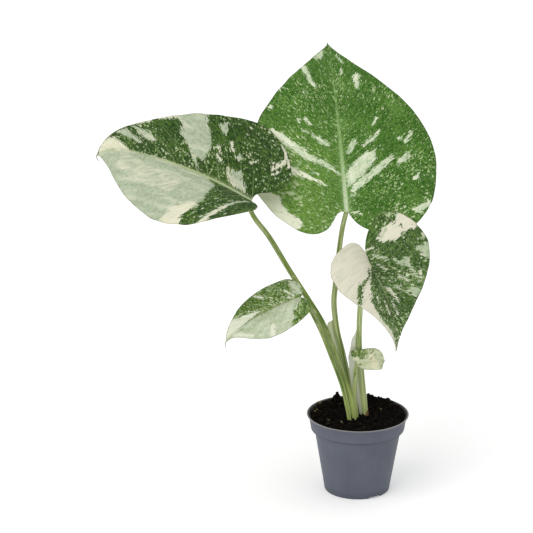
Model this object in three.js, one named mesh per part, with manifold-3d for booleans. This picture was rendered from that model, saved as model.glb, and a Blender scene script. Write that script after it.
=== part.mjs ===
// A potted variegated monstera: five leaves on petioles that stand in the soil of a tapered nursery pot.
// Millimetres, +Z up. The origin is the centre of the pot's underside, and -Y is the side seen first.
import * as THREE from 'three';
import { mergeVertices } from 'three/addons/utils/BufferGeometryUtils.js';
import Module from 'manifold-3d';

const wasm = await Module();
wasm.setup();

// Clearance kept between pieces that touch.
const gap = 0.3;

const pot = {
  height: 94,
  lipRadius: 60,
  lipDepth: 3,
  lipWidth: 1.4,
  collarTopRadius: 57.3,
  collarFootRadius: 55.2,
  collarDepth: 18.5,
  bodyTopRadius: 50.9,
  footRadius: 39,
  footHeight: 12,
  wall: 1.7,
  floor: 2,
  recess: 2,
  padRadius: 13,
  ringRadius: 34.6,
  drainHoles: 6,
  drainRadius: 3.2,
  drainCircle: 24,
  notchWidth: 16,
  notchHeight: 2,
  notchTurn: 32,
  sides: 44,
};

const soil = {
  level: 90.2,
  sides: 44,
  rings: 11,
  // Low heaps on the level surface: where, how high and how wide.
  heaps: [
    { x: 17, y: 44, high: 9.6, wide: 13 },
    { x: 37, y: 35, high: 8, wide: 10 },
    { x: 49, y: 20, high: 5.5, wide: 10 },
    { x: 53, y: 2, high: 2.5, wide: 8 },
    { x: -8, y: 47, high: 5, wide: 10 },
    { x: -23, y: 41, high: 13, wide: 5.5 },
    { x: -35, y: 32, high: 6, wide: 12 },
    { x: -50, y: 14, high: 2.5, wide: 9 },
    { x: 2, y: 6, high: 1.6, wide: 16 },
  ],
};

// How deep the petioles stand in the soil, and how thick a blade is.
const stemFoot = 76;
const bladeThickness = 0.8;

// Each leaf: where its blade is joined, its heading from +X to +Y, its pitch and its roll in degrees,
// the bending of its midrib in degrees, and its two halves, seen with the tip pointing away.
// Of a half: reach is the greatest width and lobe how far it goes back past the joint, in millimetres;
// lobeAt, widest, notch, shoulder, tipWidth and tipLength are shares of reach or of the length;
// fold, lift, tipFold and curl are degrees of slope, of extra slope at the lobe and tip, and of curling.
const leaves = {
  upright_leaf: {
    joint: [-14.8, 30, 330.9],
    length: 222.9,
    tail: 4,
    heading: 97.5,
    pitch: 58.6,
    roll: -2.6,
    bend: 11.7,
    tipBend: 17.2,
    tipFrom: 0.7,
    backBend: -6.7,
    tailBend: 0,
    twist: -0.4,
    sweep: -0.003,
    right: {
      reach: 116.5, lobe: 29.7, lobeAt: 0.494, widest: 0.288, notch: 0.031, shoulder: 0.51,
      tipWidth: 0.181, tipLength: 0.193, fold: 6.5, lift: 15.5, tipFold: 3.3, curl: 25.3,
    },
    left: {
      reach: 109.9, lobe: 28.7, lobeAt: 0.425, widest: 0.263, notch: 0.164, shoulder: 0.531,
      tipWidth: 0.232, tipLength: 0.159, fold: 6.6, lift: 15.9, tipFold: 3.2, curl: 21.9,
    },
    rows: 32,
    columns: 6,
    keel: 1.8,
    petiole: {
      points: [
        [-6, 5, 92], [-10, 6, 126.9], [-18.6, 9, 167], [-24.8, 12, 191.7], [-28.7, 16, 222.7],
        [-27.2, 19.5, 246.1], [-23.7, 24, 281.3], [-19.6, 28, 311.6],
      ],
      radii: [3.2, 3.3, 3.3, 3.3, 3.3, 3.3, 3.2, 3, 2.9, 2.8],
      wing: {
        toward: [-1, 0.15, 0],
        edge: [[100, 0], [115, 1.5], [140, 3.5], [165, 5.2], [185, 7.2], [198, 8.6], [203.5, 6.4], [205, 0]],
      },
    },
    colour: '#5b8a3c',
  },
  large_left_leaf: {
    joint: [-124.5, -20, 358.2],
    length: 209.4,
    tail: 9,
    heading: 166.1,
    pitch: 29,
    roll: 13.1,
    bend: 30.3,
    tipBend: 60.7,
    tipFrom: 0.7,
    backBend: -10.5,
    tailBend: 74.5,
    twist: -23.5,
    sweep: 0.025,
    right: {
      reach: 101.6, lobe: 23.5, lobeAt: 0.504, widest: 0.169, notch: 0.206, shoulder: 0.1,
      tipWidth: 0.243, tipLength: 0.124, fold: 26.5, lift: 0.3, tipFold: 6.8, curl: 18,
    },
    left: {
      reach: 103.2, lobe: 13, lobeAt: 0.497, widest: 0.239, notch: 0.084, shoulder: 0.387,
      tipWidth: 0.323, tipLength: 0.148, fold: 29.3, lift: 10.6, tipFold: -34.4, curl: 39.5,
    },
    rows: 32,
    columns: 6,
    keel: 1.8,
    petiole: {
      points: [
        [-4.2, -8.4, 92], [-12, -9, 126.3], [-26.5, -8.5, 167.1], [-41, -8, 205.6], [-58.7, -8, 236.5],
        [-81.3, -9.5, 273.5], [-104, -13.5, 313.6], [-119.2, -17.5, 335.1], [-125.3, -19.8, 347.4],
      ],
      radii: [3, 3.1, 3.2, 3.2, 3.2, 3.2, 3.1, 3, 2.9, 2.7, 2.5],
    },
    colour: '#7f9c66',
  },
  right_leaf: {
    joint: [7.8, -46, 287.2],
    length: 121.9,
    tail: 4,
    heading: -62.2,
    pitch: -19.3,
    roll: 27.7,
    bend: 32.2,
    tipBend: 19.8,
    tipFrom: 0.7,
    backBend: 22.9,
    tailBend: 0,
    twist: -1.8,
    sweep: 0.037,
    right: {
      reach: 78.1, lobe: 3, lobeAt: 0.395, widest: 0.2, notch: 0.121, shoulder: 0.488,
      tipWidth: 0.268, tipLength: 0.34, fold: 43.9, lift: 17, tipFold: -50.9, curl: 78,
    },
    left: {
      reach: 75.8, lobe: 48.6, lobeAt: 0.686, widest: 0.05, notch: 0.07, shoulder: 0.209,
      tipWidth: 0.01, tipLength: 0.313, fold: 41.3, lift: 17.2, tipFold: 1.8, curl: -34.4,
    },
    rows: 28,
    columns: 6,
    keel: 1.2,
    petiole: {
      points: [
        [9.2, 3.4, 92], [5.4, 3, 129.3], [1, 1.5, 174.6], [0.3, -5, 205.2], [0.9, -14, 236.3],
        [2.4, -25, 260.3], [5.4, -39, 279.1],
      ],
      radii: [3.2, 3.3, 3.3, 3.3, 3.3, 3.2, 3, 2.8, 2.5],
      wing: {
        toward: [-1, 0, 0],
        edge: [
          [96, 0], [104, 3.5], [116, 7], [130, 9.2], [147, 11.4], [163, 11.2], [176, 7.8], [188, 5], [198, 0],
        ],
      },
    },
    colour: '#8ca377',
  },
  small_left_leaf: {
    joint: [-67.1, -43, 251.4],
    length: 111.4,
    tail: 9,
    heading: 186.9,
    pitch: -13.5,
    roll: 17.6,
    bend: 35.5,
    tipBend: 24.9,
    tipFrom: 0.7,
    backBend: 0.2,
    tailBend: 45.8,
    twist: -1.3,
    sweep: -0.046,
    right: {
      reach: 39.2, lobe: 3.7, lobeAt: 0.374, widest: 0.151, notch: 0.076, shoulder: 0.581,
      tipWidth: 0.321, tipLength: 0.075, fold: 13.6, lift: 3.7, tipFold: 4.9, curl: 19.9,
    },
    left: {
      reach: 40.2, lobe: 6.8, lobeAt: 0.438, widest: 0.363, notch: 0.025, shoulder: 0.578,
      tipWidth: 0.158, tipLength: 0.22, fold: 4.8, lift: -7, tipFold: 2.8, curl: 34,
    },
    rows: 24,
    columns: 5,
    keel: 0.9,
    petiole: {
      points: [
        [-10.4, -10.6, 92], [-18.4, -14.5, 130.8], [-32.1, -19.5, 171], [-45.2, -26, 206.3],
        [-55.1, -32, 227.7], [-62, -38, 241.1],
      ],
      radii: [2.5, 2.5, 2.4, 2.3, 2.2, 2.1, 1.9, 1.6],
    },
    colour: '#8fa97c',
  },
  curled_leaf: {
    joint: [-2.8, -12, 160.3],
    length: 35.3,
    tail: 2,
    heading: -3.9,
    pitch: 7.7,
    roll: -64.5,
    bend: -12.4,
    tipBend: 85.3,
    tipFrom: 0.51,
    backBend: -5.7,
    tailBend: 0,
    twist: 8,
    sweep: 0,
    right: {
      reach: 10.4, lobe: -1, lobeAt: 0.3, widest: 0.85, notch: 0.1, shoulder: 0.49,
      tipWidth: 0.32, tipLength: 0.07, fold: 8, lift: 0, tipFold: 3.2, curl: 35.3,
    },
    left: {
      reach: 16.7, lobe: 5.1, lobeAt: 0.85, widest: 0.3, notch: 0.1, shoulder: 0.46,
      tipWidth: 0.97, tipLength: 0.06, fold: -0.8, lift: 6.9, tipFold: 0.3, curl: 8.1,
    },
    rows: 20,
    columns: 4,
    keel: 0.5,
    petiole: {
      points: [
        [-2, -1.4, 92], [-4.9, -3.2, 116.6], [-3.8, -8.5, 138.5], [-3.8, -11.8, 150.9],
      ],
      radii: [2.9, 3, 3, 2.8, 2.4, 1.8],
    },
    colour: '#b9c4a0',
  },
};

// The brown scale left by an old sheath, standing at the foot of the right petiole.
const dryScale = { foot: 87.5, top: 99, halfWidth: 2.2, thickness: 0.9, away: 1.6, turn: -70, lean: 0.12 };

const rad = THREE.MathUtils.degToRad;
const smoothstep = (v) => THREE.MathUtils.smoothstep(v, 0, 1);
const clamp01 = (v) => THREE.MathUtils.clamp(v, 0, 1);

// Closed bodies from points and triangles

function bodyOf(points, triangles) {
  const geometry = new THREE.BufferGeometry();
  geometry.setFromPoints(points);
  geometry.setIndex(triangles.flat());
  return geometry;
}

// A body through rings of equally many points, closed by one point at each end.
function loft(rings, first, last) {
  const count = rings[0].length;
  const points = [first, ...rings.flat(), last];
  const triangles = [];
  for (let k = 0; k < count; k += 1) {
    const next = (k + 1) % count;
    triangles.push([0, 1 + next, 1 + k]);
    for (let i = 0; i < rings.length - 1; i += 1) {
      const here = 1 + i * count;
      const above = here + count;
      triangles.push([here + k, here + next, above + next], [here + k, above + next, above + k]);
    }
    const top = 1 + (rings.length - 1) * count;
    triangles.push([top + k, top + next, points.length - 1]);
  }
  return bodyOf(points, triangles);
}

function solidOf(geometry) {
  const plain = geometry.clone();
  plain.deleteAttribute('normal');
  plain.deleteAttribute('uv');
  const merged = mergeVertices(plain, 1e-4);
  const corners = [];
  const index = merged.index.array;
  for (let i = 0; i < index.length; i += 3) {
    const [a, b, c] = index.slice(i, i + 3);
    if (a !== b && b !== c && c !== a) corners.push(a, b, c);
  }
  const vertProperties = new Float32Array(merged.attributes.position.array);
  return new wasm.Manifold(new wasm.Mesh({ numProp: 3, vertProperties, triVerts: new Uint32Array(corners) }));
}

function geometryOf(solid) {
  const mesh = solid.getMesh();
  const geometry = new THREE.BufferGeometry();
  geometry.setAttribute('position', new THREE.BufferAttribute(new Float32Array(mesh.vertProperties), 3));
  geometry.setIndex([...mesh.triVerts]);
  return geometry;
}

// Leaf blades

// The flat outline of one half: the sinus edge from the joint back to the lobe's end, and from there
// the margin (0) out to the widest point and on to the tip (1).
const widestEnd = 0.42;
const tailStart = 0.94;
const tailHalfWidth = 0.9;

function outlineOf(leaf, half) {
  const length = leaf.length - leaf.tail;
  const lobeX = half.lobeAt * half.reach;
  const widestY = half.widest * length;
  const notchX = half.notch * half.reach;
  const point = (x, y) => new THREE.Vector2(x, y);
  const sinus = new THREE.CubicBezierCurve(
    point(0, 0),
    point(notchX, 0.035 * length),
    point(0.9 * notchX, -half.lobe),
    point(lobeX, -half.lobe),
  );
  const flank = new THREE.CubicBezierCurve(
    point(lobeX, -half.lobe),
    point(lobeX + 0.405 * (half.reach - lobeX), -half.lobe),
    point(half.reach, widestY - 0.5 * (widestY + half.lobe)),
    point(half.reach, widestY),
  );
  const front = new THREE.CubicBezierCurve(
    point(half.reach, widestY),
    point(half.reach, widestY + half.shoulder * (length - widestY)),
    point(half.tipWidth * half.reach, length - half.tipLength * length),
    point(tailHalfWidth, length),
  );
  const tail = new THREE.LineCurve(point(tailHalfWidth, length), point(0, leaf.length));
  const margin = (t) => {
    if (t <= widestEnd) return flank.getPoint(t / widestEnd);
    if (t <= tailStart) return front.getPoint((t - widestEnd) / (tailStart - widestEnd));
    return tail.getPoint((t - tailStart) / (1 - tailStart));
  };
  return { sinus, margin };
}

// Where on the midrib the vein to t of the margin starts. In the tail the veins run straight across.
const veinSpread = 1.3;

function veinFoot(leaf, t) {
  const length = leaf.length - leaf.tail;
  if (t <= tailStart) return length * (t / tailStart) ** veinSpread;
  return length + (leaf.tail * (t - tailStart)) / (1 - tailStart);
}

// A point at share w along the vein that ends at t of the margin. The first vein is the sinus edge
// itself, and the next ones straighten out until, at sinusFade of the margin, they are straight.
const sinusFade = 0.8;

function veinPoint({ sinus, margin }, leaf, t, w) {
  const outer = margin(t);
  const edge = sinus.getPoint(w);
  const end = sinus.getPoint(1);
  const pull = clamp01(1 - t / sinusFade);
  const x = outer.x * w + pull * (edge.x - end.x * w);
  const y = veinFoot(leaf, t) * (1 - w) + outer.y * w + pull * (edge.y - end.y * w);
  return { x, y };
}

// The midrib's slope at a share f of the length, and the curve that follows from it.
function midribOf(leaf) {
  const tailFrom = 1 - leaf.tail / leaf.length;
  const slope = (f) => {
    if (f < 0) return rad(leaf.backBend) * f;
    const tip = clamp01((f - leaf.tipFrom) / (1 - leaf.tipFrom));
    const tail = clamp01((f - tailFrom) / (1 - tailFrom));
    return rad(leaf.bend) * f + rad(leaf.tipBend) * tip * tip + rad(leaf.tailBend) * tail;
  };
  const steps = 200;
  return (y) => {
    const step = y / steps;
    let along = 0;
    let up = 0;
    for (let i = 0; i < steps; i += 1) {
      const s = slope(((i + 0.5) * step) / leaf.length);
      along += Math.cos(s) * step;
      up -= Math.sin(s) * step;
    }
    return { along, up, slope: slope(y / leaf.length) };
  };
}

// A flat point (x outwards, y along the midrib) of one half, folded, curled, bent and set in place.
function bladePlacer(leaf) {
  const midrib = midribOf(leaf);
  const h = rad(leaf.heading);
  const p = rad(leaf.pitch);
  const r = rad(leaf.roll);
  const ahead = new THREE.Vector3(Math.cos(p) * Math.cos(h), Math.cos(p) * Math.sin(h), Math.sin(p));
  const level = new THREE.Vector3(Math.sin(h), -Math.cos(h), 0);
  const above = new THREE.Vector3().crossVectors(level, ahead);
  const side = level.clone().multiplyScalar(Math.cos(r)).addScaledVector(above, Math.sin(r));
  const normal = level.clone().multiplyScalar(-Math.sin(r)).addScaledVector(above, Math.cos(r));
  const place = (half, sign, x, y) => {
    const f = y / leaf.length;
    const lobeShare = smoothstep((0.25 - f) / 0.5);
    const slope = rad(half.fold + half.lift * lobeShare + half.tipFold * clamp01(f));
    const turn = rad(half.curl) / half.reach;
    const out = (sign * (Math.sin(slope) - Math.sin(slope - turn * x))) / turn;
    const rise = (Math.cos(slope - turn * x) - Math.cos(slope)) / turn;
    const twist = rad(leaf.twist) * f;
    const sweep = leaf.sweep * leaf.length * f * Math.abs(f);
    const across = out * Math.cos(twist) + rise * Math.sin(twist) + sweep;
    const height = rise * Math.cos(twist) - out * Math.sin(twist);
    const rib = midrib(y);
    return new THREE.Vector3(...leaf.joint)
      .addScaledVector(side, across)
      .addScaledVector(ahead, rib.along + height * Math.sin(rib.slope))
      .addScaledVector(normal, rib.up + height * Math.cos(rib.slope));
  };
  return { place, normal };
}

// Closer to the midrib than this the blade is thickened along the rib's own normal.
const creaseWidth = 2.5;

// The blade: a middle surface of both halves, thickened both ways, with a keel under the midrib.
function bladeGeometry(leaf) {
  const { place } = bladePlacer(leaf);
  const stations = Array.from({ length: leaf.rows + 1 }, (_, i) => (tailStart * i) / leaf.rows);
  stations.push((1 + tailStart) / 2, 1);
  const points = [place(leaf.right, 1, 0, 0)];
  const keels = [0];
  const leans = [[0, 0]];
  const triangles = [];
  const edge = [];
  // Besides its keel each point keeps the nearest rib point and how far its normal follows that one's.
  const addPoint = (point, keel, ribId, x) => {
    points.push(point);
    keels.push(keel);
    leans.push([ribId, 1 - smoothstep(x / creaseWidth)]);
    return points.length - 1;
  };
  const ribIds = stations.map((t) => {
    if (t === 0) return 0;
    const y = veinFoot(leaf, t);
    const share = y / leaf.length;
    const keel = leaf.keel * smoothstep(share / 0.12) * (1 - 0.8 * share);
    return addPoint(place(leaf.right, 1, 0, y), keel, points.length, 0);
  });
  const tip = ribIds[ribIds.length - 1];
  for (const [half, sign] of [[leaf.right, 1], [leaf.left, -1]]) {
    const outline = outlineOf(leaf, half);
    const grid = stations.map((t, i) => {
      if (t === 1) return Array(leaf.columns + 1).fill(tip);
      const row = [ribIds[i]];
      for (let j = 1; j <= leaf.columns; j += 1) {
        const { x, y } = veinPoint(outline, leaf, t, j / leaf.columns);
        row.push(addPoint(place(half, sign, x, y), 0, ribIds[i], x));
      }
      return row;
    });
    for (let i = 0; i < stations.length - 1; i += 1) {
      for (let j = 0; j < leaf.columns; j += 1) {
        const [a, b, c, d] = [grid[i][j], grid[i + 1][j], grid[i + 1][j + 1], grid[i][j + 1]];
        for (const [u, v, w] of [[a, d, c], [a, c, b]]) {
          if (u !== v && v !== w && w !== u) triangles.push(sign > 0 ? [u, v, w] : [u, w, v]);
        }
      }
    }
    const loop = [...grid[0], ...grid.slice(1).map((row) => row[leaf.columns])];
    for (let i = 0; i < loop.length - 1; i += 1) {
      edge.push(sign > 0 ? [loop[i], loop[i + 1]] : [loop[i + 1], loop[i]]);
    }
  }
  const middle = bodyOf(points, triangles);
  middle.computeVertexNormals();
  const normals = middle.attributes.normal;
  const half = bladeThickness / 2;
  const count = points.length;
  const moved = (v, i, distance) => {
    const [ribId, lean] = leans[i];
    const ribNormal = new THREE.Vector3().fromBufferAttribute(normals, ribId);
    const normal = new THREE.Vector3().fromBufferAttribute(normals, i).lerp(ribNormal, lean).normalize();
    return v.clone().addScaledVector(normal, distance);
  };
  const upper = points.map((v, i) => moved(v, i, half));
  const lower = points.map((v, i) => moved(v, i, -half - keels[i]));
  const under = triangles.map(([a, b, c]) => [a + count, c + count, b + count]);
  const walls = edge.flatMap(([a, b]) => [[b, a, a + count], [b, a + count, b + count]]);
  return bodyOf([...upper, ...lower], [...triangles, ...under, ...walls]);
}

// Petioles

const stemSides = 12;
const ringsPerSpan = 3;

// The centre line runs from below the soil to just under the blade's joint, where a round end meets it.
function petioleLine(leaf) {
  const { normal } = bladePlacer(leaf);
  const { points, radii } = leaf.petiole;
  const below = radii[radii.length - 1] + bladeThickness / 2 + gap + 0.05;
  const end = new THREE.Vector3(...leaf.joint).addScaledVector(normal, -below);
  const foot = new THREE.Vector3(points[0][0], points[0][1], stemFoot);
  const places = [foot, ...points.map((v) => new THREE.Vector3(...v)), end];
  return new THREE.CatmullRomCurve3(places, false, 'catmullrom', 0.5);
}

function between(list, v) {
  const k = list.findIndex(([at]) => v < at);
  if (k <= 0) return 0;
  const [low, high] = [list[k - 1], list[k]];
  return THREE.MathUtils.lerp(low[1], high[1], (v - low[0]) / (high[0] - low[0]));
}

// One ring: a circle, or a circle with a thin fin of the sheath's width pointing along the first axis.
function stemRing(centre, across, other, radius, finWidth, winged) {
  const at = (a, b) => centre.clone().addScaledVector(across, a).addScaledVector(other, b);
  if (!winged) {
    return Array.from({ length: stemSides }, (_, k) => {
      const angle = (2 * Math.PI * k) / stemSides;
      return at(radius * Math.cos(angle), radius * Math.sin(angle));
    });
  }
  const ring = [at(radius + finWidth, bladeThickness / 2)];
  for (let k = 1; k < stemSides; k += 1) {
    const angle = (2 * Math.PI * k) / stemSides;
    ring.push(at(radius * Math.cos(angle), radius * Math.sin(angle)));
  }
  ring.push(at(radius + finWidth, -bladeThickness / 2));
  return ring;
}

function petioleGeometry(leaf, grow = 0) {
  const line = petioleLine(leaf);
  const { radii, wing } = leaf.petiole;
  const spans = radii.length - 1;
  const toward = new THREE.Vector3(...(wing ? wing.toward : [0, -1, 0])).normalize();
  const frameAt = (u) => {
    const tangent = line.getTangent(u);
    const across = toward.clone().addScaledVector(tangent, -toward.dot(tangent)).normalize();
    return { tangent, across, other: new THREE.Vector3().crossVectors(tangent, across) };
  };
  const rings = [];
  for (let i = 0; i <= spans * ringsPerSpan; i += 1) {
    const u = i / (spans * ringsPerSpan);
    const k = Math.min(Math.floor(u * spans), spans - 1);
    const radius = THREE.MathUtils.lerp(radii[k], radii[k + 1], u * spans - k) + grow;
    const centre = line.getPoint(u);
    const { across, other } = frameAt(u);
    const finWidth = wing ? between(wing.edge, centre.z) : 0;
    rings.push(stemRing(centre, across, other, radius, finWidth, Boolean(wing)));
  }
  const { tangent, across, other } = frameAt(1);
  const end = line.getPoint(1);
  const endRadius = radii[spans] + grow;
  for (const angle of [30, 60].map(rad)) {
    const centre = end.clone().addScaledVector(tangent, endRadius * Math.sin(angle));
    rings.push(stemRing(centre, across, other, endRadius * Math.cos(angle), 0, Boolean(wing)));
  }
  const foot = line.getPoint(0).add(new THREE.Vector3(0, 0, -grow));
  rings[0].forEach((v) => v.add(new THREE.Vector3(0, 0, -grow)));
  return loft(rings, foot, end.clone().addScaledVector(tangent, endRadius));
}

function dryScaleGeometry(grow = 0) {
  const [x, y] = leaves.right_leaf.petiole.points[0];
  const turn = rad(dryScale.turn);
  const outward = new THREE.Vector3(Math.cos(turn), Math.sin(turn), 0);
  const along = new THREE.Vector3(-Math.sin(turn), Math.cos(turn), 0);
  const away = leaves.right_leaf.petiole.radii[1] + dryScale.away + dryScale.thickness / 2;
  const rings = [];
  for (let i = 0; i <= 5; i += 1) {
    const share = i / 5;
    const z = THREE.MathUtils.lerp(dryScale.foot, dryScale.top, share) - (i === 0 ? grow : 0);
    const out = away + dryScale.lean * (z - dryScale.foot);
    const centre = new THREE.Vector3(x, y, z).addScaledVector(outward, out);
    const wide = dryScale.halfWidth * Math.sqrt(1 - 0.9 * share * share) + grow;
    const thick = dryScale.thickness / 2 + grow;
    rings.push([[-1, 0], [-0.6, -1], [0.6, -1], [1, 0], [0.6, 1], [-0.6, 1]].map(([a, b]) => {
      const bow = 0.25 * wide * a * a;
      return centre.clone().addScaledVector(along, wide * a).addScaledVector(outward, -thick * b - bow);
    }));
  }
  const middle = (ring) => ring.reduce((sum, v) => sum.add(v), new THREE.Vector3()).divideScalar(ring.length);
  return loft(rings, middle(rings[0]), middle(rings[5]));
}

// Pot

function turned(profile, sides) {
  const points = profile.map(([r, z]) => new THREE.Vector2(r, z));
  return new THREE.LatheGeometry(points, sides).rotateX(Math.PI / 2);
}

const collarFoot = pot.height - pot.collarDepth;
const lipFoot = pot.height - pot.lipDepth;

// Inside radius of the pot at a height above its floor.
function insideRadius(z) {
  const inner = [
    [pot.recess, pot.footRadius],
    [pot.footHeight, pot.footRadius + 1.3],
    [collarFoot - 1, pot.bodyTopRadius],
    [collarFoot + 2.4, pot.collarFootRadius],
    [pot.height + 1, pot.collarTopRadius + 0.6],
  ];
  return between(inner, z) - pot.wall;
}

function potGeometry() {
  const floorTop = pot.recess + pot.floor;
  const profile = [
    [0, 0],
    [pot.padRadius, 0],
    [pot.padRadius + 1.5, pot.recess],
    [pot.ringRadius - 1.5, pot.recess],
    [pot.ringRadius, 0],
    [pot.footRadius - 0.8, 0],
    [pot.footRadius, 0.9],
    [pot.footRadius + 1.3, pot.footHeight],
    [pot.bodyTopRadius, collarFoot - 0.6],
    [pot.bodyTopRadius + 0.5, collarFoot],
    [pot.collarFootRadius - 0.9, collarFoot + 0.3],
    [pot.collarFootRadius, collarFoot + 1.8],
    [pot.collarTopRadius, lipFoot - 0.4],
    [pot.lipRadius - 0.8, pot.height - 1.3],
    [pot.lipRadius, pot.height - 0.6],
    [pot.lipRadius - 0.4, pot.height],
    [pot.lipRadius - pot.lipWidth, pot.height],
    [insideRadius(lipFoot), lipFoot],
    [insideRadius(collarFoot + 2.4), collarFoot + 2.4],
    [insideRadius(collarFoot - 1), collarFoot - 1],
    [insideRadius(pot.footHeight), pot.footHeight],
    [insideRadius(floorTop), floorTop],
    [0, floorTop],
  ];
  let solid = solidOf(turned(profile, pot.sides));
  for (let k = 0; k < pot.drainHoles; k += 1) {
    const angle = (2 * Math.PI * k) / pot.drainHoles;
    const hole = new THREE.CylinderGeometry(pot.drainRadius, pot.drainRadius, 10, 12).rotateX(Math.PI / 2);
    hole.translate(pot.drainCircle * Math.cos(angle), pot.drainCircle * Math.sin(angle), pot.recess);
    solid = solid.subtract(solidOf(hole));
  }
  const cutDepth = 10;
  for (const turn of [0, 180]) {
    const notch = new THREE.BoxGeometry(pot.notchWidth, cutDepth, 2 * pot.notchHeight);
    notch.translate(0, -(pot.ringRadius - 2 + cutDepth / 2), 0);
    notch.rotateZ(rad(pot.notchTurn + turn));
    solid = solid.subtract(solidOf(notch));
  }
  return geometryOf(solid);
}

// Soil

function soilHeight(x, y) {
  const crumbs = 0.7 * Math.sin(0.31 * x + 1.3) * Math.sin(0.37 * y + 0.4)
    + 0.45 * Math.sin(0.83 * x - 0.52 * y + 2.1)
    + 0.35 * Math.sin(0.61 * x + 0.97 * y - 0.7);
  const heaps = soil.heaps.map((heap) => {
    const far = (x - heap.x) ** 2 + (y - heap.y) ** 2;
    return heap.high * Math.exp(-far / heap.wide ** 2);
  });
  return soil.level + crumbs + heaps.reduce((a, b) => a + b, 0);
}

// Rings from the floor up the pot's wall, then in over the crumbly top to the middle.
function soilGeometry() {
  const floor = pot.recess + pot.floor + gap;
  const wallHeights = [floor, pot.footHeight, collarFoot - 1, collarFoot + 2.4];
  const rim = insideRadius(soil.level - 1) - gap;
  const ringAt = (radius, zAt) => Array.from({ length: soil.sides }, (_, k) => {
    const angle = (2 * Math.PI * k) / soil.sides;
    const [x, y] = [radius * Math.cos(angle), radius * Math.sin(angle)];
    return new THREE.Vector3(x, y, zAt(x, y));
  });
  const rings = wallHeights.map((z) => ringAt(insideRadius(z) - gap, () => z));
  rings.push(ringAt(rim, () => soil.level - 1));
  for (let i = 0; i < soil.rings; i += 1) {
    const share = 1 - i / soil.rings;
    rings.push(ringAt((rim - 0.8) * share, soilHeight));
  }
  const top = new THREE.Vector3(0, 0, soilHeight(0, 0));
  let solid = solidOf(loft(rings, new THREE.Vector3(0, 0, floor), top));
  for (const leaf of Object.values(leaves)) {
    solid = solid.subtract(solidOf(petioleGeometry(leaf, gap)));
  }
  solid = solid.subtract(solidOf(dryScaleGeometry(gap)));
  return geometryOf(solid);
}

// Assembly

const part = new THREE.Group();

function addMesh(name, geometry, color, roughness) {
  const mesh = new THREE.Mesh(geometry, new THREE.MeshStandardMaterial({ color, roughness, metalness: 0 }));
  mesh.name = name;
  part.add(mesh);
}

addMesh('pot', potGeometry(), '#646873', 0.55);
addMesh('soil', soilGeometry(), '#1c1613', 1);
addMesh('dry_sheath_scale', dryScaleGeometry(), '#6b3f22', 0.8);
for (const [name, leaf] of Object.entries(leaves)) {
  addMesh(`${name}_petiole`, petioleGeometry(leaf), '#8ca05a', 0.5);
  addMesh(`${name}_blade`, bladeGeometry(leaf), leaf.colour, 0.45);
}

export default part;
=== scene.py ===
# Dresses the potted variegated monstera: five leaves on their petioles, soil and a nursery pot.
# Blender 4.5, metres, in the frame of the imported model. Shapes are worked out in millimetres.
import math

import bpy
import numpy as np
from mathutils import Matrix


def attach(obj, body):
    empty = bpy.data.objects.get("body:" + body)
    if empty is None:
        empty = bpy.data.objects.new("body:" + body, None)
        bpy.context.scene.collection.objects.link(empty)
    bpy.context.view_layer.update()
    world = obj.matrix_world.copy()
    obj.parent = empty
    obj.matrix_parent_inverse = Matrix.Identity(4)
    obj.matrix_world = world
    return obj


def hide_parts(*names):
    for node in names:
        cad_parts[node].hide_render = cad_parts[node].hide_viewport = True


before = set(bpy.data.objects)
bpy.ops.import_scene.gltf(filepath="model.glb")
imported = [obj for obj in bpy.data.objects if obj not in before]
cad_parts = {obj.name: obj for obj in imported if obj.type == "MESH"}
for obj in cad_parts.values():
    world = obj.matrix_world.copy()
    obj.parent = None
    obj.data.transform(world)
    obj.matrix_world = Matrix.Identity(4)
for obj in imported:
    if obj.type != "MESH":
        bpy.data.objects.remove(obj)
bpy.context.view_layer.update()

millimetre = 0.001
print("monstera: frame loaded")


# Camera, lights and floor

view = {
    "lens": 143.32,
    "sensor": 36.0,
    "place": (-0.1075, -2.33637, 1.00019),
    "tilt": 72.75,
    "farthest": 100,
}

camera = bpy.data.objects.new("camera", bpy.data.cameras.new("camera"))
camera.data.lens = view["lens"]
camera.data.sensor_width = view["sensor"]
camera.data.clip_end = view["farthest"]
camera.location = view["place"]
camera.rotation_euler = (math.radians(view["tilt"]), 0, 0)
bpy.context.scene.collection.objects.link(camera)
bpy.context.scene.camera = camera
bpy.context.scene.view_settings.view_transform = "Standard"

# Each light: the direction it comes from, how wide it is in the sky (degrees) and its strength.
lights = {
    "key": {"from": (-0.75, -0.68, 0.9), "width": 55, "strength": 1.25, "colour": (1, 0.99, 0.97)},
    "top": {"from": (0.35, 0.2, 1), "width": 90, "strength": 0.7, "colour": (0.97, 0.99, 1)},
}
skyStrength = 0.52


def hangLight(name, light):
    lamp = bpy.data.lights.new(name, "SUN")
    lamp.angle = math.radians(light["width"])
    lamp.energy = light["strength"]
    lamp.color = light["colour"]
    lampObject = bpy.data.objects.new(name, lamp)
    # A sun shines along its own -Z, so its +Z is turned to where the light comes from.
    x, y, z = light["from"]
    lampObject.rotation_euler = (math.atan2(math.hypot(x, y), z), 0, math.atan2(y, x) + math.pi / 2)
    bpy.context.scene.collection.objects.link(lampObject)


for lightName, lightSettings in lights.items():
    hangLight(lightName, lightSettings)

world = bpy.data.worlds.new("studio")
world.use_nodes = True
world.node_tree.nodes["Background"].inputs["Color"].default_value = (1, 1, 1, 1)
world.node_tree.nodes["Background"].inputs["Strength"].default_value = skyStrength
bpy.context.scene.world = world


# Shader maths

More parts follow.
